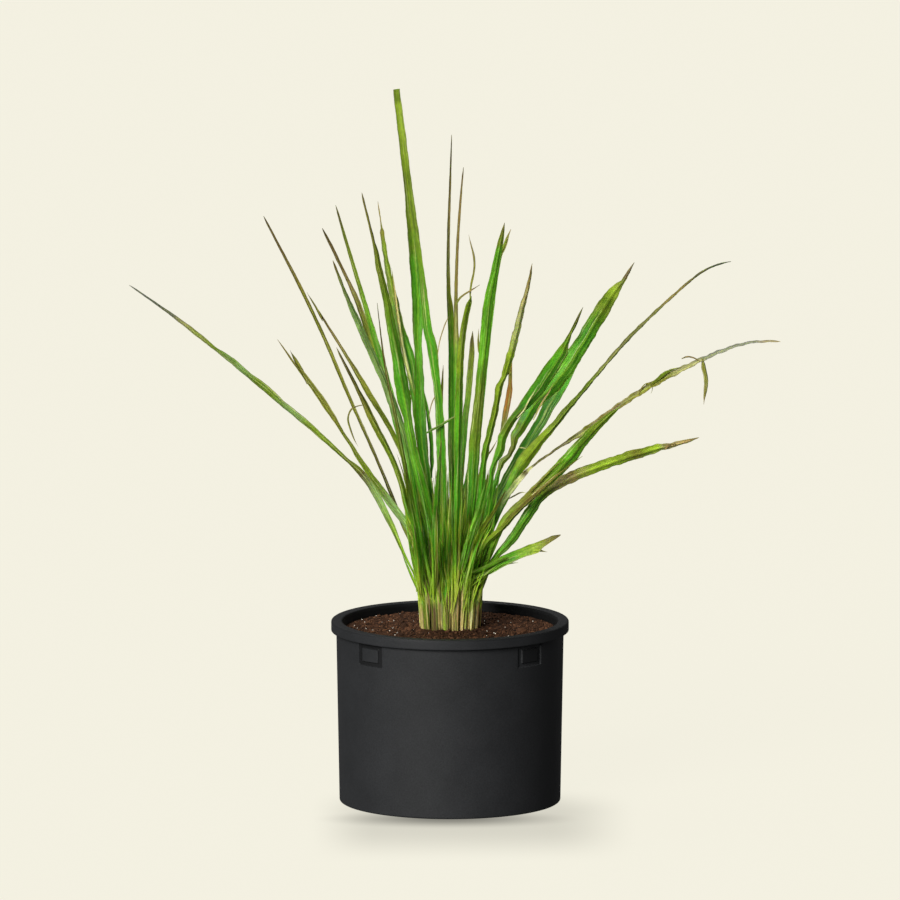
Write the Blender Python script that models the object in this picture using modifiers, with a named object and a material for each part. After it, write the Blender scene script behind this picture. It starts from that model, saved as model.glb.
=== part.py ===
"""A clump of tall ornamental grass growing in a round nursery pot.

The pot stands on z = 0 with its axis on the world Z axis, and its front faces -Y. The soil fills
it to just under the rim. The crown is a round bunch of stems standing on the soil, and each stem
carries one to three leaves, which fan out to the sides, the front and the back.
"""

import math

import bmesh
import bpy
from mathutils import Matrix, Vector

MM = 0.001
GAP = 0.3 * MM

# Pot
POT_HEIGHT = 215 * MM
RIM_RADIUS = 140 * MM
MOUTH_RADIUS = 127 * MM
RIM_BAND_HEIGHT = 12 * MM
WALL_RADIUS_TOP = 134 * MM
WALL_RADIUS_BASE = 130.3 * MM
CAVITY_RADIUS_TOP = 124.6 * MM
CAVITY_RADIUS_BASE = 121.5 * MM
FLOOR_THICKNESS = 5 * MM
ROUND_SEGMENTS = 64

# Drainage: a shallow ring channel under the base, with a row of holes in it
DRAIN_RING_RADIUS = 88 * MM
DRAIN_CHANNEL_WIDTH = 24 * MM
DRAIN_CHANNEL_DEPTH = 2 * MM
DRAIN_HOLE_RADIUS = 6 * MM
DRAIN_HOLES = 8

# Moulded frames in the wall, under the rim
FRAME_COUNT = 4
FRAME_WIDTH = 38 * MM
FRAME_HEIGHT = 25 * MM
FRAME_TOP = POT_HEIGHT - RIM_BAND_HEIGHT - 1.5 * MM
FRAME_SIDE_WIDTH = 6 * MM
FRAME_BAR_HEIGHT = 4.5 * MM
FRAME_DEPTH = 2 * MM

# Soil
SOIL_TOP = 206 * MM
SOIL_EDGE = 204.5 * MM
SOIL_FLAT_RADIUS = 48 * MM
SOIL_SEGMENTS = 32

# Stems: foot position across (x) and back (y), and diameter, all in millimetres
STEMS = (
    (-29, -12, 11),
    (-17, -23, 9),
    (-5, -28, 8),
    (6, -27, 7),
    (17, -22, 8),
    (28, -11, 10),
    (-32, 4, 7),
    (-18, -6, 9),
    (-6, -13, 8),
    (6, -12, 8),
    (17, -5, 9),
    (31, 6, 8),
    (-22, 15, 9),
    (-8, 6, 9),
    (6, 7, 9),
    (20, 16, 9),
    (-10, 26, 8),
    (6, 27, 8),
)
STEM_HEIGHT = 55 * MM
STEM_HEIGHT_STEP = 2.5 * MM
STEM_FLARE = 1.12

# Leaves. Each row holds the stem that the leaf grows from, counted from 1, how far back (+) or
# forward (-) its tip reaches, its greatest width, its twist from root to tip in degrees, and its
# run as points (across, height). The heights are those of the upright middle plane: the whole
# crown is sheared, so that a leaf sinks as it goes back and climbs as it comes forward.
CROWN_FALL = 0.167
LEAVES = (
    (1, -60, 10, 50, ((-50, 285), (-66, 322), (-85, 360), (-105, 390), (-150, 432), (-200, 477),
                      (-260, 527), (-320, 574), (-376, 614))),
    (7, 20, 12, -40, ((-44, 316), (-62, 343), (-84, 374), (-100, 397), (-114, 418), (-150, 475),
                    (-203, 550))),
    (13, 130, 5, 60, ((-50, 315), (-80, 393), (-120, 483), (-150, 555), (-180, 619), (-220, 698))),
    (8, -70, 8, 40, ((-46, 335), (-60, 385), (-75, 420), (-92, 453), (-108, 492), (-133, 540))),
    (7, -10, 7, -50, ((-50, 390), (-66, 437), (-100, 493), (-128, 542), (-158, 590))),
    (14, 170, 8, 60, ((-52, 430), (-82, 515), (-111, 600), (-129, 640), (-151, 684))),
    (1, -110, 13, 35, ((-44, 370), (-56, 440), (-78, 500), (-104, 560), (-137, 643))),
    (8, -30, 9, -45, ((-45, 370), (-60, 440), (-74, 500), (-90, 560), (-107, 620), (-134, 709))),
    (3, -120, 14, 30, ((-38, 400), (-53, 480), (-69, 560), (-84, 640), (-103, 723))),
    (13, 80, 14, -40, ((-33, 440), (-43, 520), (-55, 560), (-70, 620), (-85, 715))),
    (2, -190, 6, 60, ((-45, 360), (-62, 450), (-76, 520), (-85, 592))),
    (14, 40, 15, 25, ((-34, 460), (-36, 540), (-38, 610), (-46, 700), (-56, 780), (-63, 848))),
    (9, -60, 12, -40, ((-12, 460), (-18, 515), (-25, 560), (-31, 610), (-40, 680))),
    (15, 60, 5, 60, ((-1, 460), (-1, 560), (-3, 640), (0, 740), (2, 794))),
    (10, -40, 5, -60, ((8, 460), (7, 560), (8, 640), (11, 700), (16, 754))),
    (4, -200, 9, 40, ((9, 380), (11, 470), (14, 540), (20, 580), (25, 600))),
    (18, 190, 9, -40, ((12, 380), (18, 460), (23, 505), (27, 561))),
    (11, -80, 13, 30, ((29, 410), (36, 485), (42, 540), (46, 590), (55, 640), (64, 688))),
    (15, 100, 8, -50, ((28, 400), (40, 490), (52, 590), (60, 645), (72, 682))),
    (5, -150, 11, 40, ((36, 360), (47, 430), (60, 490), (78, 555), (96, 639))),
    (16, 160, 7, -55, ((45, 370), (60, 430), (68, 475), (74, 560))),
    (6, -60, 17, 30, ((57, 400), (86, 458), (116, 510), (142, 552), (156, 588))),
    (11, 40, 23, 20, ((50, 370), (84, 435), (118, 485), (147, 527), (183, 583), (217, 642))),
    (16, 110, 14, -35, ((57, 370), (91, 425), (122, 476), (155, 535))),
    (12, 60, 7, 60, ((58, 345), (97, 414), (148, 478), (204, 545), (255, 596), (292, 627),
                     (312, 638), (331, 643))),
    (12, -40, 9, -55, ((58, 348), (95, 396), (130, 422), (175, 452), (205, 474), (260, 508),
                       (310, 532), (350, 545), (388, 547))),
    (6, -100, 16, 30, ((62, 330), (90, 357), (114, 380), (143, 409), (170, 440), (200, 470))),
    (6, -70, 15, 35, ((50, 288), (68, 308), (88, 338), (106, 364), (130, 378), (160, 391),
                      (200, 405), (250, 421), (292, 433))),
    (5, -60, 13, -30, ((46, 276), (65, 286), (85, 295), (108, 304), (130, 317))),
    (11, -120, 8, 50, ((42, 305), (62, 325), (80, 345), (100, 364), (125, 387), (155, 411))),
    (2, -230, 10, 35, ((-16, 330), (-13, 390), (-10, 430))),
    (10, -240, 9, -40, ((22, 310), (36, 355), (45, 392))),
    (1, -190, 9, 45, ((-40, 320), (-48, 365), (-52, 400))),
    (5, -180, 8, 40, ((32, 310), (52, 345), (66, 372))),
    (16, 250, 11, 45, ((44, 335), (84, 408), (112, 470))),
    (13, 250, 11, -45, ((-30, 340), (-42, 400), (-50, 455))),
    (18, 270, 10, 35, ((12, 340), (22, 390), (27, 440))),
    (17, 300, 10, -35, ((-11, 320), (-11, 365), (-12, 400))),
    (18, 290, 9, 50, ((16, 320), (30, 365), (38, 405))),
    (17, 180, 11, 40, ((-10, 350), (-12, 440), (-8, 520))),
)
BROAD_TIPPED = (7, 9, 18, 22, 23, 24, 27, 28)
CLIPPED_LEAF = 12
CLIPPED_WIDTH = 8 * MM
LEAF_ROOT_WIDTH = 4.6 * MM
LEAF_ROOT_THICKNESS = 1.2 * MM
LEAF_TIP_WIDTH = 1.2 * MM
LEAF_TIP_THICKNESS = 0.6 * MM
LEAF_SPACING = 1.8 * MM
LEAF_STATIONS = 17
LEAF_TAPER = 2.6
BROAD_TAPER = 5
LEAF_FAN = 1.35

COLOURS = {
    "pot_plastic": ((0.022, 0.024, 0.027), 0.55),
    "soil": ((0.045, 0.022, 0.014), 0.95),
    "straw_stem": ((0.42, 0.36, 0.12), 0.7),
    "green_leaf": ((0.07, 0.24, 0.03), 0.5),
}


def make_material(name):
    colour, roughness = COLOURS[name]
    material = bpy.data.materials.new(name)
    material.use_nodes = True
    shader = material.node_tree.nodes["Principled BSDF"]
    shader.inputs["Base Color"].default_value = (*colour, 1)
    shader.inputs["Roughness"].default_value = roughness
    shader.inputs["Metallic"].default_value = 0
    return material


def make_object(name, data, collection, material=None):
    made = bpy.data.objects.new(name, data)
    collection.objects.link(made)
    if material:
        data.materials.append(material)
    return made


def mesh_from(name, bm):
    mesh = bpy.data.meshes.new(name)
    bm.to_mesh(mesh)
    bm.free()
    mesh.shade_smooth()
    mesh.set_sharp_from_angle(angle=math.radians(35))
    return mesh


def turned(name, profile, segments, collection, material):
    """A solid of revolution: the profile goes from the axis, round the outside, back to the axis."""
    bm = bmesh.new()
    points = [bm.verts.new((radius, 0, height)) for radius, height in profile]
    for first, second in zip(points, points[1:]):
        bm.edges.new((first, second))
    made = make_object(name, mesh_from(name, bm), collection, material)
    screw = made.modifiers.new("turn", "SCREW")
    screw.axis = "Z"
    screw.steps = segments
    screw.render_steps = segments
    screw.use_merge_vertices = True
    screw.merge_threshold = 0.00001
    screw.use_smooth_shade = True
    return made


def make_cutter(name, mesh, collection):
    cutter = make_object(name, mesh, collection)
    cutter.hide_render = True
    cutter.display_type = "WIRE"
    return cutter


def cut(target, cutter):
    boolean = target.modifiers.new(cutter.name, "BOOLEAN")
    boolean.operation = "DIFFERENCE"
    boolean.object = cutter
    boolean.solver = "EXACT"


def curved_slab(name, width, height, inner, outer, middle_height, azimuth, collection):
    """A block bent round the pot's axis, from one radius to another, centred on an azimuth."""
    bm = bmesh.new()
    bmesh.ops.create_cube(bm, size=1)
    across = [e for e in bm.edges if abs(e.verts[0].co.x - e.verts[1].co.x) > 0.5]
    bmesh.ops.subdivide_edges(bm, edges=across, cuts=3, use_grid_fill=True)
    for vert in bm.verts:
        angle = azimuth + vert.co.x * width / WALL_RADIUS_TOP
        radius = inner if vert.co.y > 0 else outer
        height_here = middle_height + vert.co.z * height
        vert.co = (radius * math.sin(angle), -radius * math.cos(angle), height_here)
    bmesh.ops.recalc_face_normals(bm, faces=bm.faces)
    return make_cutter(name, mesh_from(name, bm), collection)


def wall_radius(height):
    share = height / (POT_HEIGHT - RIM_BAND_HEIGHT)
    return WALL_RADIUS_BASE + share * (WALL_RADIUS_TOP - WALL_RADIUS_BASE)


def cut_frames(pot, cutters):
    """Sunk frames, each round a panel that stays flush with the wall."""
    middle = FRAME_TOP - FRAME_HEIGHT / 2
    bottom_of_groove = wall_radius(middle) - FRAME_DEPTH
    outside = RIM_RADIUS + 5 * MM
    for number in range(FRAME_COUNT):
        azimuth = math.radians(45 + number * 360 / FRAME_COUNT)
        outline = curved_slab(f"frame_{number + 1}", FRAME_WIDTH, FRAME_HEIGHT,
                              bottom_of_groove, outside, middle, azimuth, cutters)
        panel = curved_slab(f"panel_{number + 1}", FRAME_WIDTH - 2 * FRAME_SIDE_WIDTH,
                            FRAME_HEIGHT - 2 * FRAME_BAR_HEIGHT,
                            bottom_of_groove - FRAME_DEPTH, outside + FRAME_DEPTH,
                            middle, azimuth, cutters)
        cut(outline, panel)
        cut(pot, outline)


def cut_drain_holes(pot, cutters):
    for number in range(DRAIN_HOLES):
        angle = 2 * math.pi * (number + 0.5) / DRAIN_HOLES
        bm = bmesh.new()
        bmesh.ops.create_cone(bm, cap_ends=True, segments=12, radius1=DRAIN_HOLE_RADIUS,
                              radius2=DRAIN_HOLE_RADIUS, depth=4 * FLOOR_THICKNESS)
        place = (DRAIN_RING_RADIUS * math.cos(angle), DRAIN_RING_RADIUS * math.sin(angle), 0)
        bmesh.ops.translate(bm, verts=bm.verts, vec=place)
        name = f"drain_hole_{number + 1}"
        cut(pot, make_cutter(name, mesh_from(name, bm), cutters))


def build_pot(collection, cutters, material):
    band_bottom = POT_HEIGHT - RIM_BAND_HEIGHT
    edge = 1.5 * MM
    channel_in = DRAIN_RING_RADIUS - DRAIN_CHANNEL_WIDTH / 2
    channel_out = DRAIN_RING_RADIUS + DRAIN_CHANNEL_WIDTH / 2
    profile = (
        (0, FLOOR_THICKNESS),
        (CAVITY_RADIUS_BASE, FLOOR_THICKNESS),
        (CAVITY_RADIUS_TOP, SOIL_EDGE),
        (MOUTH_RADIUS, POT_HEIGHT - edge),
        (MOUTH_RADIUS + edge, POT_HEIGHT),
        (RIM_RADIUS - edge, POT_HEIGHT),
        (RIM_RADIUS, POT_HEIGHT - edge),
        (RIM_RADIUS, band_bottom),
        (WALL_RADIUS_TOP, band_bottom),
        (wall_radius(edge), edge),
        (WALL_RADIUS_BASE - edge, 0),
        (channel_out, 0),
        (channel_out - DRAIN_CHANNEL_DEPTH, DRAIN_CHANNEL_DEPTH),
        (channel_in + DRAIN_CHANNEL_DEPTH, DRAIN_CHANNEL_DEPTH),
        (channel_in, 0),
        (0, 0),
    )
    pot = turned("pot", profile, ROUND_SEGMENTS, collection, material)
    cut_frames(pot, cutters)
    cut_drain_holes(pot, cutters)
    pot.modifiers.new("even_shading", "WEIGHTED_NORMAL")
    return pot


def build_soil(collection, material):
    profile = (
        (0, SOIL_TOP),
        (SOIL_FLAT_RADIUS, SOIL_TOP),
        (CAVITY_RADIUS_TOP - GAP, SOIL_EDGE),
        (CAVITY_RADIUS_BASE - GAP, FLOOR_THICKNESS + GAP),
        (0, FLOOR_THICKNESS + GAP),
    )
    return turned("soil", profile, SOIL_SEGMENTS, collection, material)


def stem_height(number):
    """The stems' tops are not level: they step through five heights."""
    return STEM_HEIGHT + (number * 2 % 5 - 2) * STEM_HEIGHT_STEP


def stem_top(number):
    across, back, _ = STEMS[number]
    top = SOIL_TOP + stem_height(number)
    return Vector((across * MM * STEM_FLARE, back * MM * STEM_FLARE, top))


def build_stem(number, collection, material):
    """A round stem base, swollen above its foot, that leans away from the middle of the crown."""
    across, back, diameter = STEMS[number]
    foot = Vector((across * MM, back * MM, SOIL_TOP + GAP))
    top = stem_top(number)
    upright = Vector((0, 0, 0.12 * stem_height(number)))
    route = ((foot, 0.9), (foot + upright, 1.0), (top - upright, 0.9), (top, 0.8))
    name = f"stem_{number + 1:02d}"
    curve = bpy.data.curves.new(name, "CURVE")
    curve.dimensions = "3D"
    curve.bevel_depth = diameter * MM / 2
    curve.bevel_resolution = 2
    curve.use_fill_caps = True
    spline = curve.splines.new("POLY")
    spline.points.add(len(route) - 1)
    for point, (place, radius) in zip(spline.points, route):
        point.co = (*place, 1)
        point.radius = radius
    return make_object(name, curve, collection, material)


def smooth_route(points, share):
    """The point at this share of the way along a smooth curve through the points."""
    lengths = [0.0]
    for first, second in zip(points, points[1:]):
        lengths.append(lengths[-1] + (second - first).length)
    wanted = share * lengths[-1]
    leg = 0
    while leg < len(points) - 2 and lengths[leg + 1] < wanted:
        leg += 1
    here = (wanted - lengths[leg]) / (lengths[leg + 1] - lengths[leg])
    start = points[leg]
    end = points[leg + 1]
    before = points[leg - 1] if leg else start * 2 - end
    after = points[leg + 2] if leg + 2 < len(points) else end * 2 - start
    span = lengths[leg + 1] - lengths[leg]
    slope_in = (end - before) / ((start - before).length + span) * span
    slope_out = (after - start) / ((after - end).length + span) * span
    square = here * here
    cube = square * here
    return ((2 * cube - 3 * square + 1) * start + (cube - 2 * square + here) * slope_in
            + (3 * square - 2 * cube) * end + (cube - square) * slope_out)


def leaf_route(root, run, depth):
    """The run from the leaf's root, set out in depth: it leaves the crown ever faster."""
    flat = [Vector((root.x, root.z + CROWN_FALL * root.y))]
    flat += [Vector((across * MM, height * MM)) for across, height in run]
    lengths = [0.0]
    for first, second in zip(flat, flat[1:]):
        lengths.append(lengths[-1] + (second - first).length)
    route = []
    for point, length in zip(flat, lengths):
        back = root.y + (depth - root.y) * (length / lengths[-1]) ** LEAF_FAN
        route.append(Vector((point.x, back, point.y - CROWN_FALL * back)))
    return route


def leaf_width(share, widest, tip, taper):
    """Narrow at the root, widest from a third to a half of the way, then tapering to the tip."""
    swell = min(share / 0.35, 1)
    swell = swell * swell * (3 - 2 * swell)
    width = LEAF_ROOT_WIDTH + (widest - LEAF_ROOT_WIDTH) * swell
    return tip + (width - tip) * (1 - share ** taper)


def build_leaf(number, root, collection, material):
    """A blade with a lens section, lofted along its run and twisting as it goes."""
    _, depth, widest, twist, run = LEAVES[number]
    tip_width = CLIPPED_WIDTH if number + 1 == CLIPPED_LEAF else LEAF_TIP_WIDTH
    taper = BROAD_TAPER if number + 1 in BROAD_TIPPED else LEAF_TAPER
    route = leaf_route(root, run, depth * MM)
    shares = [(step / (LEAF_STATIONS - 1)) ** 1.15 for step in range(LEAF_STATIONS)]
    middles = [smooth_route(route, share) for share in shares]
    bm = bmesh.new()
    rings = []
    for step, share in enumerate(shares):
        before = middles[max(step - 1, 0)]
        after = middles[min(step + 1, LEAF_STATIONS - 1)]
        along = (after - before).normalized() if step else Vector((0, 0, 1))
        side = Vector((0, 1, 0)).cross(along).normalized()
        side.rotate(Matrix.Rotation(math.radians(twist) * share, 3, along))
        face = along.cross(side)
        half_width = leaf_width(share, widest * MM, tip_width, taper) / 2
        thickness = LEAF_ROOT_THICKNESS + share * (LEAF_TIP_THICKNESS - LEAF_ROOT_THICKNESS)
        middle = middles[step]
        corners = (middle - side * half_width, middle - face * thickness / 2,
                   middle + side * half_width, middle + face * thickness / 2)
        rings.append([bm.verts.new(corner) for corner in corners])
    for lower, upper in zip(rings, rings[1:]):
        for corner in range(4):
            following = (corner + 1) % 4
            bm.faces.new((lower[corner], lower[following], upper[following], upper[corner]))
    bm.faces.new(rings[0])
    bm.faces.new(rings[-1])
    bmesh.ops.recalc_face_normals(bm, faces=bm.faces)
    name = f"leaf_{number + 1:02d}"
    return make_object(name, mesh_from(name, bm), collection, material)


def leaf_roots():
    """Each leaf's root, just above its stem. Leaves that share a stem stand in order of depth."""
    roots = {}
    for stem in range(len(STEMS)):
        own = [number for number, leaf in enumerate(LEAVES) if leaf[0] == stem + 1]
        own.sort(key=lambda number: LEAVES[number][1])
        for place, number in enumerate(own):
            shift = (place - (len(own) - 1) / 2) * LEAF_SPACING
            roots[number] = stem_top(stem) + Vector((0, shift, GAP))
    return roots


def clear_scene():
    for item in list(bpy.data.objects):
        bpy.data.objects.remove(item, do_unlink=True)


def main():
    clear_scene()
    plant = bpy.data.collections.new("potted_grass_clump")
    cutters = bpy.data.collections.new("cutters")
    bpy.context.scene.collection.children.link(plant)
    bpy.context.scene.collection.children.link(cutters)
    materials = {name: make_material(name) for name in COLOURS}
    build_pot(plant, cutters, materials["pot_plastic"])
    build_soil(plant, materials["soil"])
    for number in range(len(STEMS)):
        build_stem(number, plant, materials["straw_stem"])
    for number, root in sorted(leaf_roots().items()):
        build_leaf(number, root, plant, materials["green_leaf"])


main()
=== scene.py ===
from functools import reduce
from math import atan2, cos, exp, hypot, log, pi, radians, sin, sqrt, tan

import bmesh
import bpy
import numpy as np
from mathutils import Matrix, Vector, noise


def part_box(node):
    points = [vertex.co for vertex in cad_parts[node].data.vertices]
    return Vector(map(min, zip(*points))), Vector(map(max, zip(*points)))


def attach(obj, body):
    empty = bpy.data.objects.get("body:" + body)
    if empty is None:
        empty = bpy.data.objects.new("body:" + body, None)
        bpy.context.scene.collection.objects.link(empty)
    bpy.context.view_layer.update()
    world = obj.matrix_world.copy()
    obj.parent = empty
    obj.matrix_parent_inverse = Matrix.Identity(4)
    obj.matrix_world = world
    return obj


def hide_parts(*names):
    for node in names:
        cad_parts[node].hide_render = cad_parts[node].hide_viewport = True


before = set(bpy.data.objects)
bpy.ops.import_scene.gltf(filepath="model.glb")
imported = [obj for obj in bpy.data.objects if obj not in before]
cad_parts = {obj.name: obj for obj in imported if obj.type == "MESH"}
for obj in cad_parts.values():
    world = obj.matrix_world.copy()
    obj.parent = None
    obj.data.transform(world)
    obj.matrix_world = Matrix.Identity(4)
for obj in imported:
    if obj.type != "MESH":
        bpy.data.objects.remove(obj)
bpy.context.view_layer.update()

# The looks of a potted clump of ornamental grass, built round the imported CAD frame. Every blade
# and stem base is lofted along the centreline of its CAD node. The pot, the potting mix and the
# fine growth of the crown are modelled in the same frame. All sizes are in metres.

MM = 0.001
TURN = 2 * pi
BODY = "root"
SCENE = bpy.context.scene

# ---- camera, floor and light

VIEW_ELEVATION = radians(9.5)
CAMERA_DISTANCE = 24.0
CAMERA_AIM = Vector((0, 0, 0.418))
PICTURE_WIDTH = 1.059
SENSOR = 36.0
CREAM = (0.8963, 0.8714, 0.7529)


def add_object(name, data):
    made = bpy.data.objects.new(name, data)
    SCENE.collection.objects.link(made)
    return made


def new_mesh(name, points, faces):
    mesh = bpy.data.meshes.new(name)
    mesh.from_pydata(points, [], faces)
    return mesh


def make_camera():
    data = bpy.data.cameras.new("camera")
    data.sensor_width = SENSOR
    data.lens = SENSOR * CAMERA_DISTANCE / PICTURE_WIDTH
    data.clip_end = 400
    camera = add_object("camera", data)
    back = Vector((0, -cos(VIEW_ELEVATION), sin(VIEW_ELEVATION)))
    camera.location = CAMERA_AIM + back * CAMERA_DISTANCE
    camera.rotation_euler = (pi / 2 - VIEW_ELEVATION, 0, 0)
    SCENE.camera = camera


def make_sun(name, azimuth, elevation, strength, spread, colour=(1, 1, 1)):
    """A soft studio light from far away. Azimuth 0 is in front and positive to the right, in degrees."""
    data = bpy.data.lights.new(name, "SUN")
    data.energy = strength
    data.angle = radians(spread)
    data.color = colour
    turn, lift = radians(azimuth), radians(elevation)
    away = Vector((sin(turn) * cos(lift), -cos(turn) * cos(lift), sin(lift)))
    lamp = add_object(name, data)
    lamp.rotation_mode = "QUATERNION"
    lamp.rotation_quaternion = away.to_track_quat("Z", "Y")


def make_world(strength):
    """An even grey room for the light, and the floor's cream wherever the floor ends."""
    world = bpy.data.worlds.new("studio")
    SCENE.world = world
    world.use_nodes = True
    nodes, links = world.node_tree.nodes, world.node_tree.links
    nodes.clear()
    either = nodes.new("ShaderNodeMixShader")
    links.new(nodes.new("ShaderNodeLightPath").outputs["Is Camera Ray"], either.inputs[0])
    for place, colour, glow in ((1, (1, 1, 1), strength), (2, CREAM, 1)):
        background = nodes.new("ShaderNodeBackground")
        background.inputs["Color"].default_value = (*colour, 1)
        background.inputs["Strength"].default_value = glow
        links.new(background.outputs[0], either.inputs[place])
    links.new(either.outputs[0], nodes.new("ShaderNodeOutputWorld").inputs[0])


make_camera()
SCENE.view_settings.view_transform = "Standard"
make_world(0.115)
make_sun("key_light", -30, 24, 4.6, 34, (1, 0.985, 0.95))
make_sun("hair_light", -150, 72, 2.5, 30)

# ---- colours and materials


def linear(red, green, blue):
    """A colour given as it looks on screen, 0 to 255, as linear light."""
    share = np.array([red, green, blue]) / 255
    return np.where(share <= 0.04045, share / 12.92, ((share + 0.055) / 1.055) ** 2.4)


PALETTE = {
    "lime": linear(144, 172, 44),
    "fresh": linear(94, 164, 34),
    "green": linear(68, 142, 26),
    "deep": linear(44, 108, 18),
    "pine": linear(30, 82, 26),
    "sage": linear(122, 154, 88),
    "moss": linear(104, 128, 28),
    "olive": linear(110, 110, 38),
    "straw": linear(196, 182, 108),
    "pale": linear(212, 214, 146),
    "tan": linear(174, 148, 94),
    "bark": linear(112, 92, 50),
    "umber": linear(78, 64, 36),
    "rust": linear(150, 100, 34),
    "slate": linear(96, 100, 86),
    "khaki": linear(136, 134, 82),
}


class Graph:
    """A material whose nodes are made and linked by short calls."""

    def __init__(self, name, roughness, specular):
        self.material = bpy.data.materials.new(name)
        self.material.use_nodes = True
        self.tree = self.material.node_tree
        self.shader = self.tree.nodes["Principled BSDF"]
        self.feed(self.shader, {"Roughness": roughness, "Specular IOR Level": specular})

    def feed(self, node, inputs):
        """Links or sets some of the node's inputs, each given by name or place."""
        for socket, value in inputs.items():
            if isinstance(value, bpy.types.NodeSocket):
                self.tree.links.new(value, node.inputs[socket])
            else:
                node.inputs[socket].default_value = value

    def node(self, kind, inputs, **settings):
        """Makes a node and gives its outputs."""
        made = self.tree.nodes.new("ShaderNode" + kind)
        for name, value in settings.items():
            setattr(made, name, value)
        self.feed(made, inputs)
        return made.outputs

    def attribute(self, name, output):
        return self.node("Attribute", {}, attribute_name=name)[output]

    def place(self):
        return self.node("TexCoord", {})["Object"]

    def noise(self, vector, scale=1.0, detail=3.0, roughness=0.55):
        inputs = {"Vector": vector, "Scale": scale, "Detail": detail, "Roughness": roughness}
        return self.node("TexNoise", inputs)["Fac"]

    def ranged(self, value, low, high, to_low, to_high, kind="LINEAR"):
        inputs = {"Value": value, "From Min": low, "From Max": high, "To Min": to_low, "To Max": to_high}
        return self.node("MapRange", inputs, interpolation_type=kind)[0]

    def mixed(self, factor, first, second):
        return self.node("Mix", {0: factor, 6: first, 7: second}, data_type="RGBA")[2]

    def product(self, first, second):
        return self.node("Math", {0: first, 1: second}, operation="MULTIPLY")[0]

    def vector(self, operation, inputs, output="Vector"):
        return self.node("VectorMath", inputs, operation=operation)[output]

    def scaled(self, vector, scale):
        return self.vector("MULTIPLY", {0: vector, 1: scale})

    def brightened(self, colour, value):
        """The colour times a number that changes over the surface."""
        return self.vector("SCALE", {0: colour, "Scale": value})

    def finish(self, colour, height, strength, distance):
        """Sets the colour and a bump of this strength and distance, and gives the material."""
        bump = self.node("Bump", {"Strength": strength, "Distance": distance, "Height": height})
        self.feed(self.shader, {"Base Color": colour, "Normal": bump[0]})
        return self.material


def shade(name):
    return (*PALETTE[name], 1)


def blade_material(name, roughness, streaks, dryness):
    """Fine veins that run up the blade, with pale and dark streaks between them and dry flecks."""
    g = Graph(name, roughness, 0.22)
    colour, grain = g.attribute("tint", "Color"), g.attribute("grain", "Vector")
    veins = g.noise(g.scaled(grain, (2.4, 0.012, 1)), detail=2)
    streak = g.noise(g.scaled(grain, (0.62, 0.02, 1)), roughness=0.6)
    light = g.noise(g.scaled(grain, (0.9, 0.012, 3.1)), detail=2)
    brown = g.noise(g.scaled(grain, (0.7, 0.022, 5.7)), detail=4, roughness=0.65)
    flecks = g.noise(g.scaled(grain, (0.9, 0.2, 1)), detail=5, roughness=0.7)
    colour = g.brightened(colour, g.ranged(veins, 0.3, 0.7, 1 - streaks * 0.3, 1 + streaks * 0.3))
    colour = g.brightened(colour, g.ranged(streak, 0.32, 0.68, 1 - streaks * 0.6, 1 + streaks * 0.6))
    colour = g.mixed(g.ranged(light, 0.56, 0.72, 0, 0.5), colour, shade("pale"))
    colour = g.mixed(g.ranged(brown, 0.57, 0.72, 0, 0.26 + dryness), colour, shade("bark"))
    colour = g.brightened(colour, g.ranged(flecks, 0.35, 0.68, 1.25, 0.68))
    g.feed(g.shader, {
        "Roughness": g.ranged(streak, 0.3, 0.7, roughness - 0.08, roughness + 0.1),
        "Subsurface Weight": 0.3,
        "Subsurface Radius": (0.7, 1.0, 0.25),
        "Subsurface Scale": 1.2 * MM,
    })
    return g.finish(colour, veins, 0.5, 0.25 * MM)


# Over which distances from the middle the painted shade on the pot's inside wall ends, and over which
# heights the top of its rim darkens with painted shade
INSIDE_RIM = 0.1262, 0.1285
RIM_TOP = 0.2125, 0.2147


def plastic_material():
    """Dull black moulded plastic, faintly cloudy and fine grained, with painted shade on the top of the rim
    and on the inside wall, and painted light and shade on the moulded frames.
    """
    g = Graph("pot_moulded_plastic", 0.58, 0.18)
    place = g.place()
    clouds = g.noise(place, 16, 5, 0.62)
    grain = g.noise(place, 620, 3, 0.65)
    dark, light = (0.0158, 0.0167, 0.0181, 1), (0.0206, 0.0217, 0.0236, 1)
    colour = g.mixed(g.ranged(clouds, 0.3, 0.7, 0, 1), dark, light)
    colour = g.brightened(colour, g.ranged(grain, 0.28, 0.72, 0.78, 1.22))
    far = g.vector("LENGTH", {0: g.scaled(place, (1, 1, 0))}, "Value")
    # painted shade: the inside wall is darkened to a tenth
    colour = g.brightened(colour, g.ranged(far, *INSIDE_RIM, 0.1, 1))
    height = g.node("SeparateXYZ", {0: place})[2]
    # painted shade: the top of the rim is darkened against the light from above
    colour = g.brightened(colour, g.ranged(height, *RIM_TOP, 1, 0.35))
    # painted shade in the frames' grooves and panels, painted light on the borders of the right-hand frames
    colour = g.brightened(colour, g.attribute("mould", "Fac"))
    g.feed(g.shader, {"Roughness": g.ranged(clouds, 0.3, 0.7, 0.52, 0.66)})
    return g.finish(colour, grain, 0.35, 0.2 * MM)


def soil_material():
    """Damp peat and bark: red-brown, nearly black in the hollows."""
    g = Graph("potting_mix_peat", 0.95, 0.06)
    place = g.place()
    lumps = g.noise(place, 160, 5, 0.65)
    grains = g.noise(place, 700, 4, 0.7)
    base = g.mixed(g.ranged(lumps, 0.35, 0.68, 0, 1), (*linear(24, 15, 10), 1), (*linear(74, 49, 33), 1))
    return g.finish(g.brightened(base, g.ranged(grains, 0.3, 0.7, 0.45, 1.5)), grains, 0.8, 1.2 * MM)


def tinted_material(name, roughness, scale, low, high):
    """A grainy material whose colour comes from the piece's own tint."""
    g = Graph(name, roughness, 0.1)
    grains = g.noise(g.place(), scale, 4, 0.65)
    colour = g.brightened(g.attribute("tint", "Color"), g.ranged(grains, 0.3, 0.7, low, high))
    return g.finish(colour, grains, 0.6, 0.4 * MM)


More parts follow.
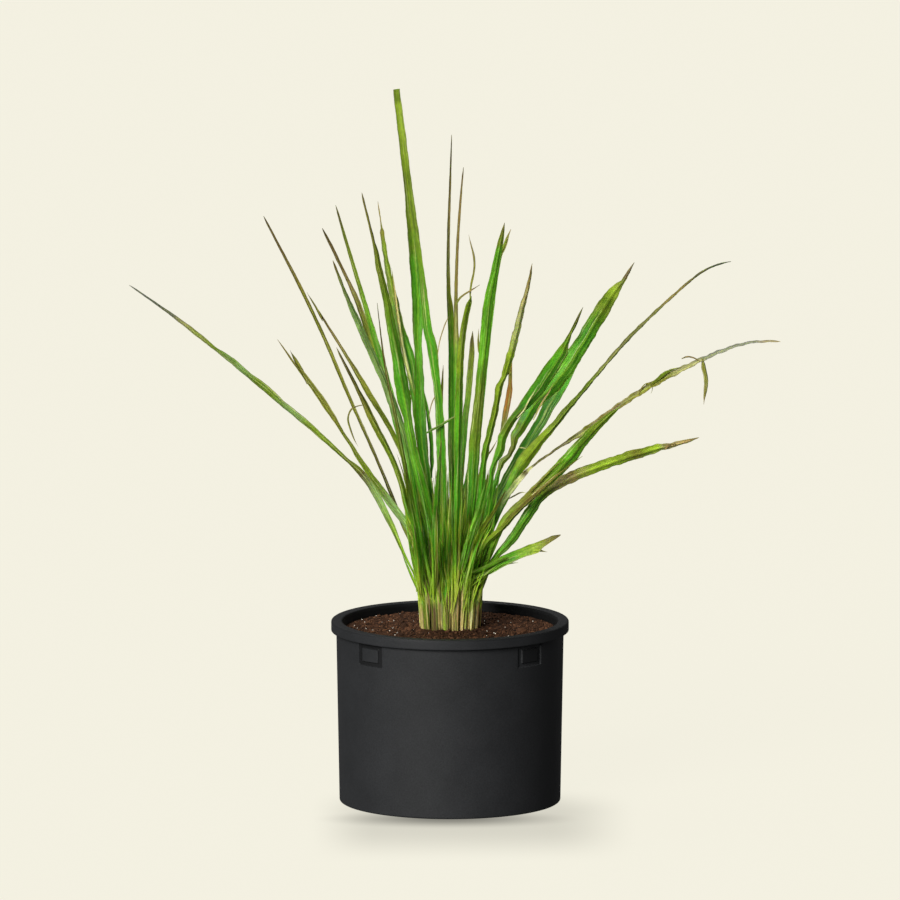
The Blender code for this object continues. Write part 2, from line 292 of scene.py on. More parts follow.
BLADE = blade_material("grass_blade", 0.48, 0.6, 0.08)
STEM = blade_material("grass_stem_sheath", 0.6, 0.7, 0.34)
DRY = blade_material("dry_grass", 0.74, 0.5, 0.44)
PLASTIC = plastic_material()
SOIL = soil_material()
CRUMB = tinted_material("peat_crumb", 0.92, 900, 0.55, 1.45)
PERLITE = tinted_material("perlite", 0.8, 1500, 0.85, 1.1)

# The sides of the soft shadow: along X or Y, from where to where it changes, and between which shares
SHADOW_SIDES = (
    (0, -0.170, -0.085, 0, 1),
    (0, 0.115, 0.225, 1, 0),
    (1, -0.410, -0.195, 0, 1),
    (1, -0.090, 0.070, 1, 0),
)


def make_floor(glow, reflectance):
    """A pale paper floor, with the soft shadow that the pot throws forwards and to its right."""
    half = 60
    corners = [(-half, -half, 0), (half, -half, 0), (half, half, 0), (-half, half, 0)]
    floor = add_object("floor", new_mesh("floor", corners, [(0, 1, 2, 3)]))
    g = Graph("floor_paper", 1.0, 0.0)
    place = g.place()
    parts = g.node("SeparateXYZ", {0: place})
    sides = [g.ranged(parts[axis], *span, "SMOOTHSTEP") for axis, *span in SHADOW_SIDES]
    wide = reduce(g.product, sides)
    shifted = g.vector("ADD", {0: place, 1: (0.003, 0.126, 0)})
    from_edge = g.vector("LENGTH", {0: g.scaled(shifted, (1 / 0.142, 1 / 0.058, 0))}, "Value")
    contact = g.ranged(from_edge, 0.1, 1.15, 0.37, 1, "SMOOTHSTEP")
    lit = g.product(g.ranged(wide, 0, 1, 1, 0.76), contact)
    paper, light = (tuple(c * share for c in CREAM) for share in (reflectance, glow))
    emission = {"Emission Color": g.brightened(light, lit), "Emission Strength": 1}
    g.feed(g.shader, {"Base Color": (*paper, 1)} | emission)
    floor.data.materials.append(g.material)
    floor.visible_diffuse = False
    floor.visible_glossy = False


make_floor(0.962, 0.03)

# ---- mesh building


def add_piece(name, mesh, material, replaces=(), smooth=0):
    """Adds a finished mesh as a piece of the one body, in place of the CAD nodes named."""
    if smooth:
        mesh.shade_smooth()
        mesh.set_sharp_from_angle(angle=radians(smooth))
    mesh.materials.append(material)
    made = add_object(name, mesh)
    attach(made, BODY)
    if replaces:
        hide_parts(*replaces)


def ring_faces(rows, around, first=0):
    """Faces between neighbouring rings of points."""
    faces = []
    for low in range(first, first + (rows - 1) * around, around):
        for step in range(around):
            after = (step + 1) % around
            faces.append((low + step, low + after, low + around + after, low + around + step))
    return faces


def distances(line):
    """How far along a line each of its points lies."""
    return np.concatenate([[0.0], np.cumsum(np.linalg.norm(np.diff(line, axis=0), axis=1))])


TINT_RANGE = 0.002, 1


class Surface:
    """Closed strips and tubes gathered into one piece, with a tint and a grain at each point.

    The grain is millimetres across, millimetres along and a number of its own for each strip.
    The bake map lays all the strips out in rows, each row holding both sides of a strip.
    """

    def __init__(self):
        self.points, self.tints, self.grains = [], [], []
        self.faces, self.corners, self.girths = [], [], []
        self.count = 0
        self.run = 0.0

    def loft(self, rings, tints, seed):
        """Adds a closed tube of rings, one row of points each. The first half of a ring is its top side."""
        stations, around, _ = rings.shape
        along = distances(rings.mean(1))
        spans = np.linalg.norm(np.roll(rings, -1, axis=1) - rings, axis=2)
        half = around // 2
        across = np.concatenate([[0.0], np.cumsum(spans.mean(0))])
        sides = np.where(np.arange(around) <= half, across[:-1], 2 * across[half] - across[:-1])
        grain = np.broadcast_arrays(sides[None] / MM, along[:, None] / MM, seed * 7.31)
        k, j = np.indices((stations - 1, around)).reshape(2, -1)
        rows, columns = np.stack([k, k, k + 1, k + 1], 1), np.stack([j, j + 1, j + 1, j], 1)
        quads = rows * around + columns % around
        corners = np.stack([(self.run + along)[rows], columns / around], 2)
        inside_out = signed_volume(rings.reshape(-1, 3), quads) < 0
        if inside_out:
            quads, corners = quads[:, ::-1], corners[:, ::-1]
        self.faces += (quads + self.count).tolist()
        self.corners += corners.reshape(-1, 2).tolist()
        self.close(self.count, around, self.run, inside_out)
        self.close(self.count + (stations - 1) * around, around, self.run + along[-1], not inside_out)
        self.points.append(rings.reshape(-1, 3))
        self.tints.append(np.broadcast_to(np.clip(tints, *TINT_RANGE), rings.shape).reshape(-1, 3))
        self.grains.append(np.stack(grain, -1).reshape(-1, 3))
        self.count += stations * around
        self.run += float(along[-1])
        self.girths.append(float(spans.sum(1).mean()))

    def close(self, base, around, run, outward):
        """Closes one end of a tube with a row of faces between its top and its bottom side."""
        for i in range(around // 2):
            corners = [i, i + 1, (around - i - 1) % around, (around - i) % around]
            face = list(dict.fromkeys(corners))
            if outward:
                face.reverse()
            self.faces.append([base + corner for corner in face])
            self.corners += [[run, corner / around] for corner in face]

    def lumps(self, shape, faces, centres, frames, tints):
        """Adds one small solid at each centre. A frame is a 3 x 3 matrix that turns and scales the shape."""
        placed = np.einsum("nij,npj->npi", frames, shape) + centres[:, None, :]
        total, each = len(centres), shape.shape[1]
        index = faces[None] + (self.count + np.arange(total) * each)[:, None, None]
        self.faces += index.reshape(-1, faces.shape[1]).tolist()
        self.points.append(placed.reshape(-1, 3))
        self.tints.append(np.repeat(tints, each, axis=0))
        self.count += total * each

    def piece(self, name, material, slot, replaces=(), smooth=60):
        mesh = new_mesh(name, np.concatenate(self.points).tolist(), self.faces)
        tints = np.concatenate(self.tints)
        colour = mesh.color_attributes.new("tint", "FLOAT_COLOR", "POINT")
        colour.data.foreach_set("color", np.hstack([tints, np.ones((len(tints), 1))]).ravel())
        if self.grains:
            grain = mesh.attributes.new("grain", "FLOAT_VECTOR", "POINT")
            grain.data.foreach_set("vector", np.concatenate(self.grains).ravel())
            self.map_strips(mesh)
        add_piece(name, mesh, material, replaces, smooth)

    def map_strips(self, mesh):
        rows = max(1, round(sqrt(self.run / (2 * float(np.mean(self.girths))))))
        row_length = self.run / rows * 1.0001
        corners = np.array(self.corners)
        face_sizes = np.array([len(face) for face in self.faces])
        firsts = np.concatenate([[0], np.cumsum(face_sizes)[:-1]])
        lowest = np.minimum.reduceat(corners[:, 0], firsts)
        row = np.repeat(np.floor(lowest / row_length), face_sizes)
        places = np.empty((len(corners), 2), np.float32)
        places[:, 0] = 0.008 + 0.965 * (corners[:, 0] - row * row_length) / row_length
        places[:, 1] = (row + 0.03 + 0.94 * corners[:, 1]) / rows
        layer = mesh.uv_layers.new(name="OFBake")
        layer.uv.foreach_set("vector", places.ravel())


def signed_volume(points, quads):
    a, b, c, d = (points[quads[:, i]] for i in range(4))
    return float((np.cross(a, b) * c).sum() + (np.cross(a, c) * d).sum())


def smoothstep(value, low, high):
    share = np.clip((value - low) / (high - low), 0, 1)
    return share * share * (3 - 2 * share)


def natural_spline(knots, values, at):
    """A smooth curve through the values, one row for each knot."""
    gap = np.diff(knots)
    slopes = np.diff(values, axis=0) / gap[:, None]
    matrix = np.eye(len(knots))
    right = np.zeros_like(values)
    for i in range(1, len(gap)):
        matrix[i, i - 1 : i + 2] = gap[i - 1], 2 * (gap[i - 1] + gap[i]), gap[i]
        right[i] = 6 * (slopes[i] - slopes[i - 1])
    bend = np.linalg.solve(matrix, right)
    k = np.clip(np.searchsorted(knots, at, side="right") - 1, 0, len(gap) - 1)
    low, high, wide = (part[:, None] for part in (at - knots[k], knots[k + 1] - at, gap[k]))
    return (
        (bend[k] * high**3 + bend[k + 1] * low**3) / (6 * wide)
        + (values[k] / wide - bend[k] * wide / 6) * high
        + (values[k + 1] / wide - bend[k + 1] * wide / 6) * low
    )


def unit(vectors):
    return vectors / np.maximum(np.linalg.norm(vectors, axis=-1, keepdims=True), 1e-12)


def wander(rng, along, wavelength):
    """A smooth random wave of about one unit either way, its crests roughly a wavelength apart."""
    total = np.zeros_like(along)
    for share, strength in ((1.0, 0.6), (0.55, 0.35), (0.31, 0.25)):
        reach = wavelength * share * rng.uniform(0.8, 1.25)
        total += strength * np.sin(TURN * along / reach + rng.uniform(0, TURN))
    return total


def colour_run(text, at):
    """Colours along a strip from stops such as '0 green, .6 moss, 1 bark'."""
    stops = [stop.split() for stop in text.split(",")]
    places = np.array([float(place) for place, _ in stops])
    shades = np.array([PALETTE[name] for _, name in stops])
    return np.stack([np.interp(at, places, shades[:, i]) for i in range(3)], -1)


def blend_to(tints, colour, share):
    return tints + (np.asarray(colour) - tints) * np.asarray(share)[..., None]


# ---- reading the CAD nodes


def welded(node):
    """The node's points with duplicates joined, and each point's neighbours along its edges."""
    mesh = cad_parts[node].data
    found = np.empty(len(mesh.vertices) * 3)
    mesh.vertices.foreach_get("co", found)
    points, index = np.unique(np.round(found.reshape(-1, 3), 6), axis=0, return_inverse=True)
    index = index.reshape(-1)
    beside = [set() for _ in points]
    for edge in mesh.edges:
        a, b = (int(index[v]) for v in edge.vertices)
        if a != b:
            beside[a].add(b)
            beside[b].add(a)
    return points, beside


def leaf_rings(node):
    """The blade's sections from root to tip: centres, directions across it and widths."""
    points, beside = welded(node)
    ring = set(np.argsort(points[:, 2])[:4].tolist())
    seen, rings = set(ring), []
    while ring:
        rings.append(points[sorted(ring)])
        ring = set().union(*(beside[point] for point in ring)) - seen
        seen |= ring
    centres, sides, last = [], [], None
    for four in rings:
        pairs = [(a, b) for a in range(4) for b in range(a)]
        far = max(pairs, key=lambda pair: np.linalg.norm(four[pair[0]] - four[pair[1]]))
        side = four[far[0]] - four[far[1]]
        if last is not None and side @ last < 0:
            side = -side
        centres.append(four.mean(0))
        sides.append(side)
        last = side
    sides = np.array(sides)
    return np.array(centres), unit(sides), np.linalg.norm(sides, axis=1)


class Course:
    """A smooth line with the direction across it at each station, and its width."""

    def __init__(self, centres, across, widths, step):
        knots = distances(centres)
        self.length = float(knots[-1])
        stations = max(12, int(self.length / step))
        self.along = np.linspace(0, self.length, stations)
        self.share = self.along / self.length
        self.centre = natural_spline(knots, centres, self.along)
        self.width = np.maximum(natural_spline(knots, widths[:, None], self.along)[:, 0], 0.4 * MM)
        self.forward = unit(np.gradient(self.centre, self.along, axis=0))
        side = unit(natural_spline(knots, across, self.along))
        self.side = unit(side - (side * self.forward).sum(1, keepdims=True) * self.forward)
        self.face = np.cross(self.forward, self.side)
        if self.face[:, 2].sum() < 0:
            self.side, self.face = -self.side, -self.face


# ---- blades

# Colours from root to tip for each leaf; leaves 16 and 28 are lighter than their own colour, painted light
# where their faces turn away from the light
LEAF_COLOURS = {
    1: "0 green, .12 moss, .24 sage, .3 umber, .38 moss, .46 moss, .52 sage, .6 moss, .68 sage, .76 moss, "
       ".84 khaki, .9 slate, 1 slate",
    2: "0 green, .15 sage, .3 sage, .4 moss, .65 olive, .85 olive, 1 bark",
    3: "0 moss, .25 umber, .5 olive, .7 olive, .9 bark, 1 umber",
    4: "0 green, .3 moss, .55 moss, .7 olive, .85 umber, 1 umber",
    5: "0 green, .4 moss, .7 olive, .88 bark, 1 umber",
    6: "0 green, .35 green, .6 moss, .85 bark, 1 umber",
    7: "0 deep, .3 green, .55 sage, .85 sage, 1 bark",
    8: "0 deep, .35 green, .6 green, .82 moss, 1 umber",
    9: "0 green, .35 fresh, .55 green, .75 moss, .88 olive, 1 bark",
    10: "0 green, .35 fresh, .6 green, .75 moss, .86 moss, .93 olive, 1 tan",
    11: "0 deep, .5 moss, .75 bark, 1 umber",
    12: "0 deep, .3 green, .5 fresh, .62 green, .72 moss, .82 moss, .92 lime, .97 lime, 1 moss",
    13: "0 deep, .4 green, .7 green, 1 moss",
    14: "0 deep, .3 green, .52 green, .6 moss, .66 olive, .72 khaki, .85 tan, 1 bark",
    15: "0 deep, .35 green, .5 green, .6 olive, .75 bark, .9 bark, 1 umber",
    16: "0 deep, .4 green, .6 fresh, .75 lime, .9 lime, 1 moss",
    17: "0 deep, .5 green, .8 moss, 1 umber",
    18: "0 deep, .3 green, .42 moss, .52 moss, .62 fresh, .8 fresh, .92 fresh, .97 olive, 1 bark",
    19: "0 deep, .5 green, .8 fresh, .93 moss, 1 bark",
    20: "0 deep, .3 green, .5 moss, .7 lime, .82 pale, .93 tan, 1 bark",
    21: "0 moss, .35 green, .58 moss, .63 olive, .68 rust, .76 rust, .82 olive, .9 rust, 1 bark",
    22: "0 deep, .35 green, .45 fresh, .53 moss, .6 deep, .66 green, .74 green, .84 fresh, .88 moss, "
        "1 umber",
    23: "0 deep, .3 green, .38 olive, .43 moss, .48 green, .57 green, .64 fresh, .76 green, .86 moss, "
        ".92 lime, .95 bark, 1 umber",
    24: "0 deep, .8 deep, .9 green, 1 sage",
    25: "0 deep, .2 green, .26 fresh, .3 lime, .37 lime, .44 moss, .55 moss, .62 khaki, .75 khaki, "
        ".86 tan, .95 slate, 1 slate",
    26: "0 moss, .14 green, .2 sage, .28 pale, .31 umber, .42 umber, .47 olive, .55 bark, .62 olive, "
        ".7 olive, .76 khaki, .83 slate, .92 slate, 1 bark",
    27: "0 green, .3 moss, .45 olive, .55 moss, .7 fresh, .85 moss, 1 moss",
    28: "0 green, .25 fresh, .36 green, .42 moss, .46 khaki, .53 tan, .6 lime, .7 lime, .78 olive, "
        ".83 lime, .88 khaki, .94 tan, 1 bark",
    29: "0 green, .3 fresh, .5 green, .7 lime, .85 olive, 1 umber",
    30: "0 deep, .3 moss, .6 bark, 1 olive",
    31: "0 deep, .4 green, .8 fresh, 1 olive",
    32: "0 deep, .4 fresh, .8 green, 1 olive",
    33: "0 green, .4 fresh, .8 moss, 1 bark",
    34: "0 green, .4 moss, .8 olive, 1 bark",
    35: "0 deep, .4 green, .8 moss, 1 bark",
    36: "0 deep, .4 green, .8 moss, 1 bark",
    37: "0 deep, .4 green, .8 fresh, 1 olive",
    38: "0 deep, .5 green, 1 bark",
    39: "0 deep, .5 green, 1 olive",
    40: "0 deep, .4 green, .8 moss, 1 bark",
}

# How far the left and the right edge lie from the middle of a leaf, in mm: "share left right" along it
LEAF_EDGES = {
    1: ".3 3 5, .35 2.2 2, .4 2.2 3, .45 2.5 3.8, .5 3.5 3.5, .55 4.2 2.2, .6 4.2 4, .65 3.8 2.2, "
       ".7 3.3 3.5, .75 2.7 1, .8 3 2, .85 2.2 2, .9 1.3 1.4, .95 .9 1, 1 .7 .7",
    2: ".2 4.5 4.5, .3 5 4.5, .45 3.5 3, .5 2.9 3, .55 1.2 3, .6 1.8 2.2, .65 2 3.3, .7 3.6 4.3, "
       ".75 3.1 4.3, .85 2.5 3.2, .9 2.2 .6, 1 .6 .5",
    3: ".3 2.3 1.2, .5 1.8 2.2, .6 2 2.3, .7 2 1.8, .8 2 1.9, .9 1.7 1.1, 1 1.3 .6",
    4: ".4 2.5 4, .5 1.8 4.4, .6 2.5 4.7, .65 2.5 5.2, .72 2.6 4.5, .8 3 1.2, .9 2.5 .8, 1 1.2 .5",
    5: ".5 4.5 1.5, .6 4.5 2, .65 4.6 2.8, .7 3.6 3, .75 3 2.4, .8 3 1, .9 3 .4, 1 1.4 .4",
    6: ".5 4.5 3.5, .7 4 3, .8 3.2 2, .85 2.5 .8, .9 2.5 .9, .95 2 1.2, 1 1.4 .6",
    7: ".5 5 5, .55 4.8 4.4, .6 3 5, .65 3.3 5, .8 3.2 4, .85 3.2 2.5, .9 2.6 1.2, 1 1.3 1",
    8: ".45 5.5 4.5, .5 5.5 3.5, .6 5 2.8, .7 4.8 1.6, .8 4.2 .8, .9 3.2 .8, .95 2.2 .8, 1 1.1 .8",
    9: ".34 6 4, .42 6 4, .46 8.5 7.5, .51 8 8, .555 5.5 8, .6 4.2 8, .645 4 7, .69 3 6.5, .73 2.6 5.4, "
       ".78 3.4 4, .8 3.8 3.3, .84 2.4 3.3, .87 1.4 2, .9 1.3 1.6, 1 1.3 .8",
    10: ".42 8 6, .46 8 5, .51 9 1, .555 8.5 5, .61 8 4.2, .65 7.5 3.6, .69 6.5 4, .73 5.5 4.6, .8 4 3.5, "
        ".85 3.3 2.4, .92 3 2.2, .93 1 .8, 1 .7 .5",
    12: ".2 8 4, .27 8 2.6, .31 8 4, .34 8 5.5, .38 6.5 5.5, .41 5.4 5, .48 6.2 2.6, .51 8 3.4, .54 8 7, "
        ".58 8 7.6, .65 7.9 7.6, .7 7 6.7, .75 6.3 5.6, .8 4.3 5, .9 3.6 5.4, 1 4.2 3.6",
    13: ".4 6 5, .5 5.4 3.8, .57 5 4, .62 6 5, .67 6 6.5, .71 7 3.8, .76 6 3.4, .85 4 3.2, .95 2.5 2.4, "
        "1 1.2 1",
    14: ".2 3 5, .26 3 5.5, .3 3.2 6, .37 1.4 6, .45 1.2 6, .52 1.6 6, .57 2.2 5.2, .61 2.6 5, "
        ".64 2.2 2.8, .7 1.7 2.5, .75 1.5 2.2, .8 1.7 1.8, .9 1.2 1.3, 1 .6 .4",
    15: ".32 4 4, .4 4 3.6, .48 4 4, .56 4 4, .61 3.2 2.2, .7 2.7 1.4, .8 2 1.4, .9 1.5 1.4, 1 1 .3",
    16: ".5 5 5, .7 4.5 4, .9 4 3.4, .97 3.6 3, 1 1.5 1",
    17: ".5 3.2 4.6, .65 2.6 4.6, .7 2 4.9, .8 3 4.3, .9 2.4 4.2, .96 2 2, 1 1 .6",
    18: ".4 7.6 6, .5 6.4 4.6, .6 7 4.4, .7 7.2 5.4, .8 6.3 5.6, .85 4.8 4.8, .9 4.7 4.2, .95 3.4 3, "
        "1 1 .8",
    19: ".4 5 4, .6 4.5 1.5, .8 4.2 .8, .9 3.4 .6, 1 1.2 .6",
    20: ".36 6 1, .385 7 2, .41 6.6 1.2, .43 6 2, .48 5 3, .51 4.5 3.5, .56 5 2.3, .59 6.4 2, .605 7 1.5, "
        ".63 3.2 3, .64 3.9 4.5, .7 4.6 4.6, .75 4.8 4, .85 4.2 3, .9 2 3.3, .95 .7 2.9, 1 .6 .6",
    21: ".5 3 3, .58 2 2, .62 3 2, .66 3.4 3.5, .69 3 4, .725 2.5 4.6, .76 1.5 5, .79 1 3.6, .85 1.6 2.4, "
        ".9 1.8 2, 1 .8 .8",
    22: ".35 7 -1, .38 9 -3.4, .41 8.6 -3, .435 8.4 .9, .46 9.5 1.4, .495 14.4 -3.4, .53 14.4 -4.6, "
        ".56 14 -4, .59 12.4 -2.5, .62 10.9 2, .65 10 6, .69 9 8.5, .76 8 9.5, .83 6.5 8, .865 5.2 2.2, "
        ".9 4.6 -.4, .95 3.4 .5, 1 1.1 .3",
    23: ".3 3 2.8, .325 5 .4, .35 7.6 .4, .375 3 1.8, .4 4.8 2.6, .425 11 -.4, .45 11.5 .8, .48 13.2 .8, "
        ".51 16.6 .4, .535 16 0, .56 15 3, .6 13 7, .65 11.5 9, .75 11.9 6.7, .8 13 5.6, .86 13.2 5.3, "
        ".9 10.5 3.4, .925 6.5 2.6, .94 3.2 2.2, .97 2 1.6, 1 1 .9",
    24: ".41 2 8, .48 3.3 7, .56 6 6.5, .6 5.8 6.4, .64 6 6.4, .675 5.6 6.6, .71 6.6 6.2, .75 8.2 5.6, "
        ".79 8.6 6, .86 8 6, .93 5 4, 1 1.5 1.5",
    25: ".23 6 5, .28 9.5 3, .3 10.5 5.6, .32 10 5.6, .345 8 5.6, .37 6.4 5.2, .4 4 5.4, .43 3.4 5, "
        ".45 4 4.5, .47 3.8 4, .5 2.4 3.4, .6 1.4 3.5, .7 1.8 3.5, .75 .9 3.4, .9 .8 2.7, .95 2.2 1, "
        "1 2 0",
    26: ".2 3 3, .24 3.4 3.4, .28 3.5 2.5, .3 2.8 1.5, .32 1.4 1.1, .35 1.1 1.5, .4 1.8 1.1, .45 2.8 3.4, "
        ".5 3.6 5, .55 3.6 2.7, .6 3.5 3, .66 3.6 2.8, .7 4 3.2, .74 2.2 3.6, .8 2 2.6, .85 2 1.9, "
        ".9 1.8 1.1, 1 1.1 .8",
    27: ".1 2 5, .22 3 5, .35 5.8 4, .45 7 6, .6 8 7.5, .7 9.2 7.2, .75 9 4.7, .85 8 3.5, .95 4.5 1.8, "
        "1 1.4 1",
    28: ".1 2 5.5, .2 3.4 7.5, .3 4 8.2, .36 4 8.8, .45 6 7, .55 8.2 6.2, .6 7.4 5.8, .7 7.6 5.1, "
        ".75 8 5.4, .8 7 5.4, .86 5.4 4.2, .9 3 4.2, .95 1.6 3.3, 1 1 2",
    29: ".3 7 6, .55 5.9 5, .65 6 5.6, .75 5.8 6, .79 5.6 2.4, .9 4.4 1.5, .95 3.2 1.3, 1 2.4 2.2",
}
WAVY = {1: 0.5, 7: 0.6, 10: 0.8, 20: 0.9, 23: 1.2, 25: 0.7, 26: 1.8, 28: 1.1, 29: 1.0}
CLIPPED = 12
BLADE_STEP = 2.6 * MM
LEAF_KEEL = 0.32
# Heights between which a blade's yellow root ends, and where the painted light on the clump's shaded heart
# ends; over which X that painted light grows and then fades
ROOT_YELLOW = 0.255, 0.305
LIT_HEIGHTS = 0.33, 0.41
LIT_FROM_X, LIT_TO_X = (0, 30 * MM), (50 * MM, 70 * MM)


def rows_of(table):
    """The rows of numbers in a text such as '.5 3 4, 1 2 2'."""
    return np.array([[float(word) for word in row.split()] for row in table.split(",")])


def leaf_edges(course, table):
    """How far the blade reaches to either hand of its middle, for the course's own side direction."""
    low = high = course.width / 2
    if table:
        rows = rows_of(table)
        flat = np.cross(np.array([0, 1.0, 0]), course.forward)
        turned = (course.side * unit(flat)).sum(1)
        breadth = np.maximum(np.abs(turned), 0.5)
        taken = smoothstep(course.share, rows[0, 0] - 0.12, rows[0, 0])
        order = (1, 2) if turned.mean() > 0 else (2, 1)
        seen = [np.interp(course.share, rows[:, 0], rows[:, i]) * MM / breadth for i in order]
        low, high = low + (seen[0] - low) * taken, high + (seen[1] - high) * taken
    opened = min(100 * MM, 0.2 * course.length)
    furled = 0.42 + 0.58 * smoothstep(course.along, 0.1 * opened, opened)
    return low * furled, high * furled


def blade_rings(course, rng, wave, keel, points_across, table="", pointed=True):
    """A grass blade's sections: a shallow V along a raised midrib, thin rippling edges and a fine tip."""
    u = np.linspace(-1, 1, points_across)
    along, share = course.along, course.share
    left, right = leaf_edges(course, table)
    left = left + 0.05 * course.width / 2 * wander(rng, along, 34 * MM)
    right = right + 0.05 * course.width / 2 * wander(rng, along, 27 * MM)
    if pointed:
        point = np.sqrt(np.clip((1 - share) * course.length / (10 * MM), 0.03, 1))
        left, right = left * point, right * point
    half, shift = (left + right)[:, None] / 2, (right - left)[:, None] / 2
    fold = keel * (1 - 0.6 * smoothstep(share, 0.5, 1.0))
    lift = half * fold[:, None] * np.abs(u)[None] ** 1.35
    ripple_left = wander(rng, along, 26 * MM) * wave * MM
    ripple_right = wander(rng, along, 22 * MM) * wave * MM
    narrow = np.minimum(course.width / (6 * MM), 1)
    ripple = np.where(u < 0, ripple_left[:, None], ripple_right[:, None]) * (u**2)[None] * narrow[:, None]
    veins = 0.05 * MM * np.cos(u * pi * 7)[None] * narrow[:, None]
    thick = (0.2 * MM + 0.75 * MM * np.exp(-((u / 0.22) ** 2)))[None] * (0.35 + 0.65 * narrow[:, None])
    middle = course.centre[:, None] + course.side[:, None] * (shift + u[None] * half)[..., None]
    top = middle + course.face[:, None] * (lift + ripple + veins)[..., None]
    bottom = middle + course.face[:, None] * (lift + ripple - thick)[..., None]
    return np.concatenate([top, bottom[:, -2:0:-1]], axis=1), u


def blade_tints(course, rng, stops, u, edge=0.65, rib=0.35, root=0.65):
    """Colour along the blade, an olive margin, a pale midrib, uneven patches, a paler, yellower root and
    painted light on blades low in the clump's shaded heart, most towards its right; the root share scales
    both.
    """
    around = np.concatenate([u, u[-2:0:-1]])
    shade_along = colour_run(stops, np.clip(course.share + 0.02 * wander(rng, course.along, 40 * MM), 0, 1))
    tints = np.repeat(shade_along[:, None], len(around), axis=1)
    patch = 1 + 0.14 * wander(rng, course.along, 70 * MM)[:, None]
    patch = patch + 0.1 * np.sin(around * 4 + rng.uniform(0, 6))[None]
    tints = tints * patch[..., None]
    uneven = np.clip(0.75 + 0.35 * wander(rng, course.along, 45 * MM), 0, 1)
    margin = smoothstep(np.abs(around), 0.62, 1.0)[None] * uneven[:, None] * edge
    tints = blend_to(tints, PALETTE["olive"] * 0.55, margin)
    middle = np.exp(-((around / 0.13) ** 2))[None] * rib * (1 - smoothstep(course.share, 0.75, 1))[:, None]
    tints = blend_to(tints, PALETTE["lime"] * 1.15, middle)
    x, z = course.centre[:, 0], course.centre[:, 2]
    # painted light: blades low in the heart of the clump are lightened, more towards its right, where they
    # lie in shade
    bright = (1 - smoothstep(z, *LIT_HEIGHTS)) * (0.55 + 0.35 * smoothstep(x, *LIT_FROM_X))
    bright *= 1 - smoothstep(x, *LIT_TO_X)
    tints = tints * (1 + root * bright)[:, None, None]
    low = 1 - smoothstep(z, *ROOT_YELLOW)
    tints = blend_to(tints, PALETTE["lime"] * 1.35, low[:, None] * root * np.ones(len(around)))
    return tints


COURSES = {number: Course(*leaf_rings(f"leaf_{number:02d}"), BLADE_STEP) for number in LEAF_COLOURS}


def make_leaf(number):
    course = COURSES[number]
    rng = np.random.default_rng(100 + number)
    across = 13 if course.width.max() > 12 * MM else 9
    surface = Surface()
    wave, table = WAVY.get(number, 0.35), LEAF_EDGES.get(number, "")
    rings, u = blade_rings(course, rng, wave, LEAF_KEEL, across, table, number != CLIPPED)
    surface.loft(rings, blade_tints(course, rng, LEAF_COLOURS[number], u), number)
    surface.piece(f"leaf_{number:02d}_blade", BLADE, "green_leaf", [f"leaf_{number:02d}"])


for leaf in LEAF_COLOURS:
    make_leaf(leaf)

# ---- stem bases

# Three colours for each stem, and for the sheaths on it
STEM_COLOURS = {
    number: names.split()
    for number, names in enumerate((
        "lime pale straw", "tan straw bark", "straw bark lime", "straw moss pale", "tan pale straw",
        "straw pale tan", "lime moss straw", "tan bark straw", "straw bark tan", "moss lime straw",
        "straw tan pale", "straw tan lime", "olive straw tan", "tan straw olive", "moss olive straw",
        "tan olive straw", "straw olive tan", "olive tan moss",
    ), 1)
}


def stem_line(node):
    """The stem's foot, its top and its radius, from its CAD mesh."""
    points, _ = welded(node)
    order = np.argsort(points[:, 2])
    low, high = points[order[:8]], points[order[-8:]]
    radius = max(np.linalg.norm(ring - ring.mean(0), axis=1).mean() for ring in (low, high)) / 0.9
    return low.mean(0), high.mean(0), radius


def painted_side_light(x):
    """Painted light and shade on the dry stems, as a scale on their colours: darker on the left of the
    clump, where the key light falls, and paler towards its right, more so further right.
    """
    return 0.72 + 0.66 * smoothstep(x, -2 * MM, 28 * MM)


def round_about(forward, angle):
    """Directions square to a nearly upright line, at angles round it."""
    right = unit(np.cross(forward, np.array([0, 1.0, 0])))
    back = np.cross(right, forward)
    return np.cos(angle)[:, None] * right[..., None, :] + np.sin(angle)[:, None] * back[..., None, :]


def greened(line, base, name, height_low):
    """The base colours turning to a named green over the 26 mm above a height."""
    up = smoothstep(line[:, 2], height_low, height_low + 26 * MM)
    return blend_to(base, PALETTE[name], up[:, None] * np.ones(base.shape[1]))


def make_stem(number):
    node = f"stem_{number:02d}"
    foot, top, radius = stem_line(node)
    rng = np.random.default_rng(500 + number)
    # painted light and shade: stem colours darker on the left of the clump, lighter towards its right
    shades = [PALETTE[name] * painted_side_light(foot[0]) for name in STEM_COLOURS[number]]
    surface = Surface()
    stations, around = 24, 28
    rise = np.linspace(-0.05, 1.04, stations)
    line = foot + (top - foot) * rise[:, None]
    line = line + np.array([1, 0.6, 0]) * (wander(rng, rise, 0.9) * 0.25 * MM)[:, None]
    angle = np.arange(around) / around * TURN
    lobes = rng.integers(4, 7)
    pleat = np.abs(np.cos(angle * lobes / 2 + rng.uniform(0, 3))) ** 0.7
    swell = 0.86 + 0.1 * np.sin(np.clip(rise, 0, 1) * pi) - 0.42 * smoothstep(rise, 0.62, 1.04)
    radii = radius * swell[:, None] * (0.84 + 0.17 * pleat)[None]
    rings = line[:, None] + round_about(unit(np.gradient(line, axis=0)), angle) * radii[..., None]
    strand = (np.floor((angle + 0.4) / TURN * lobes * 2).astype(int)) % 3
    # painted shade in the creases between the pleats, lighter on their ridges
    base = np.array(shades)[strand][None] * (0.45 + 0.65 * pleat)[None, :, None]
    base = base * (1 + 0.15 * wander(rng, rise, 0.5))[:, None, None]
    tints = greened(line, base, "green", rng.uniform(0.222, 0.236))
    surface.loft(rings, tints, number)
    for layer in range(3):
        add_sheath(surface, foot, top, radius, rng, shades[layer], number * 10 + layer, layer)
    surface.piece(f"stem_{number:02d}_sheaths", STEM, "straw_stem", [node])


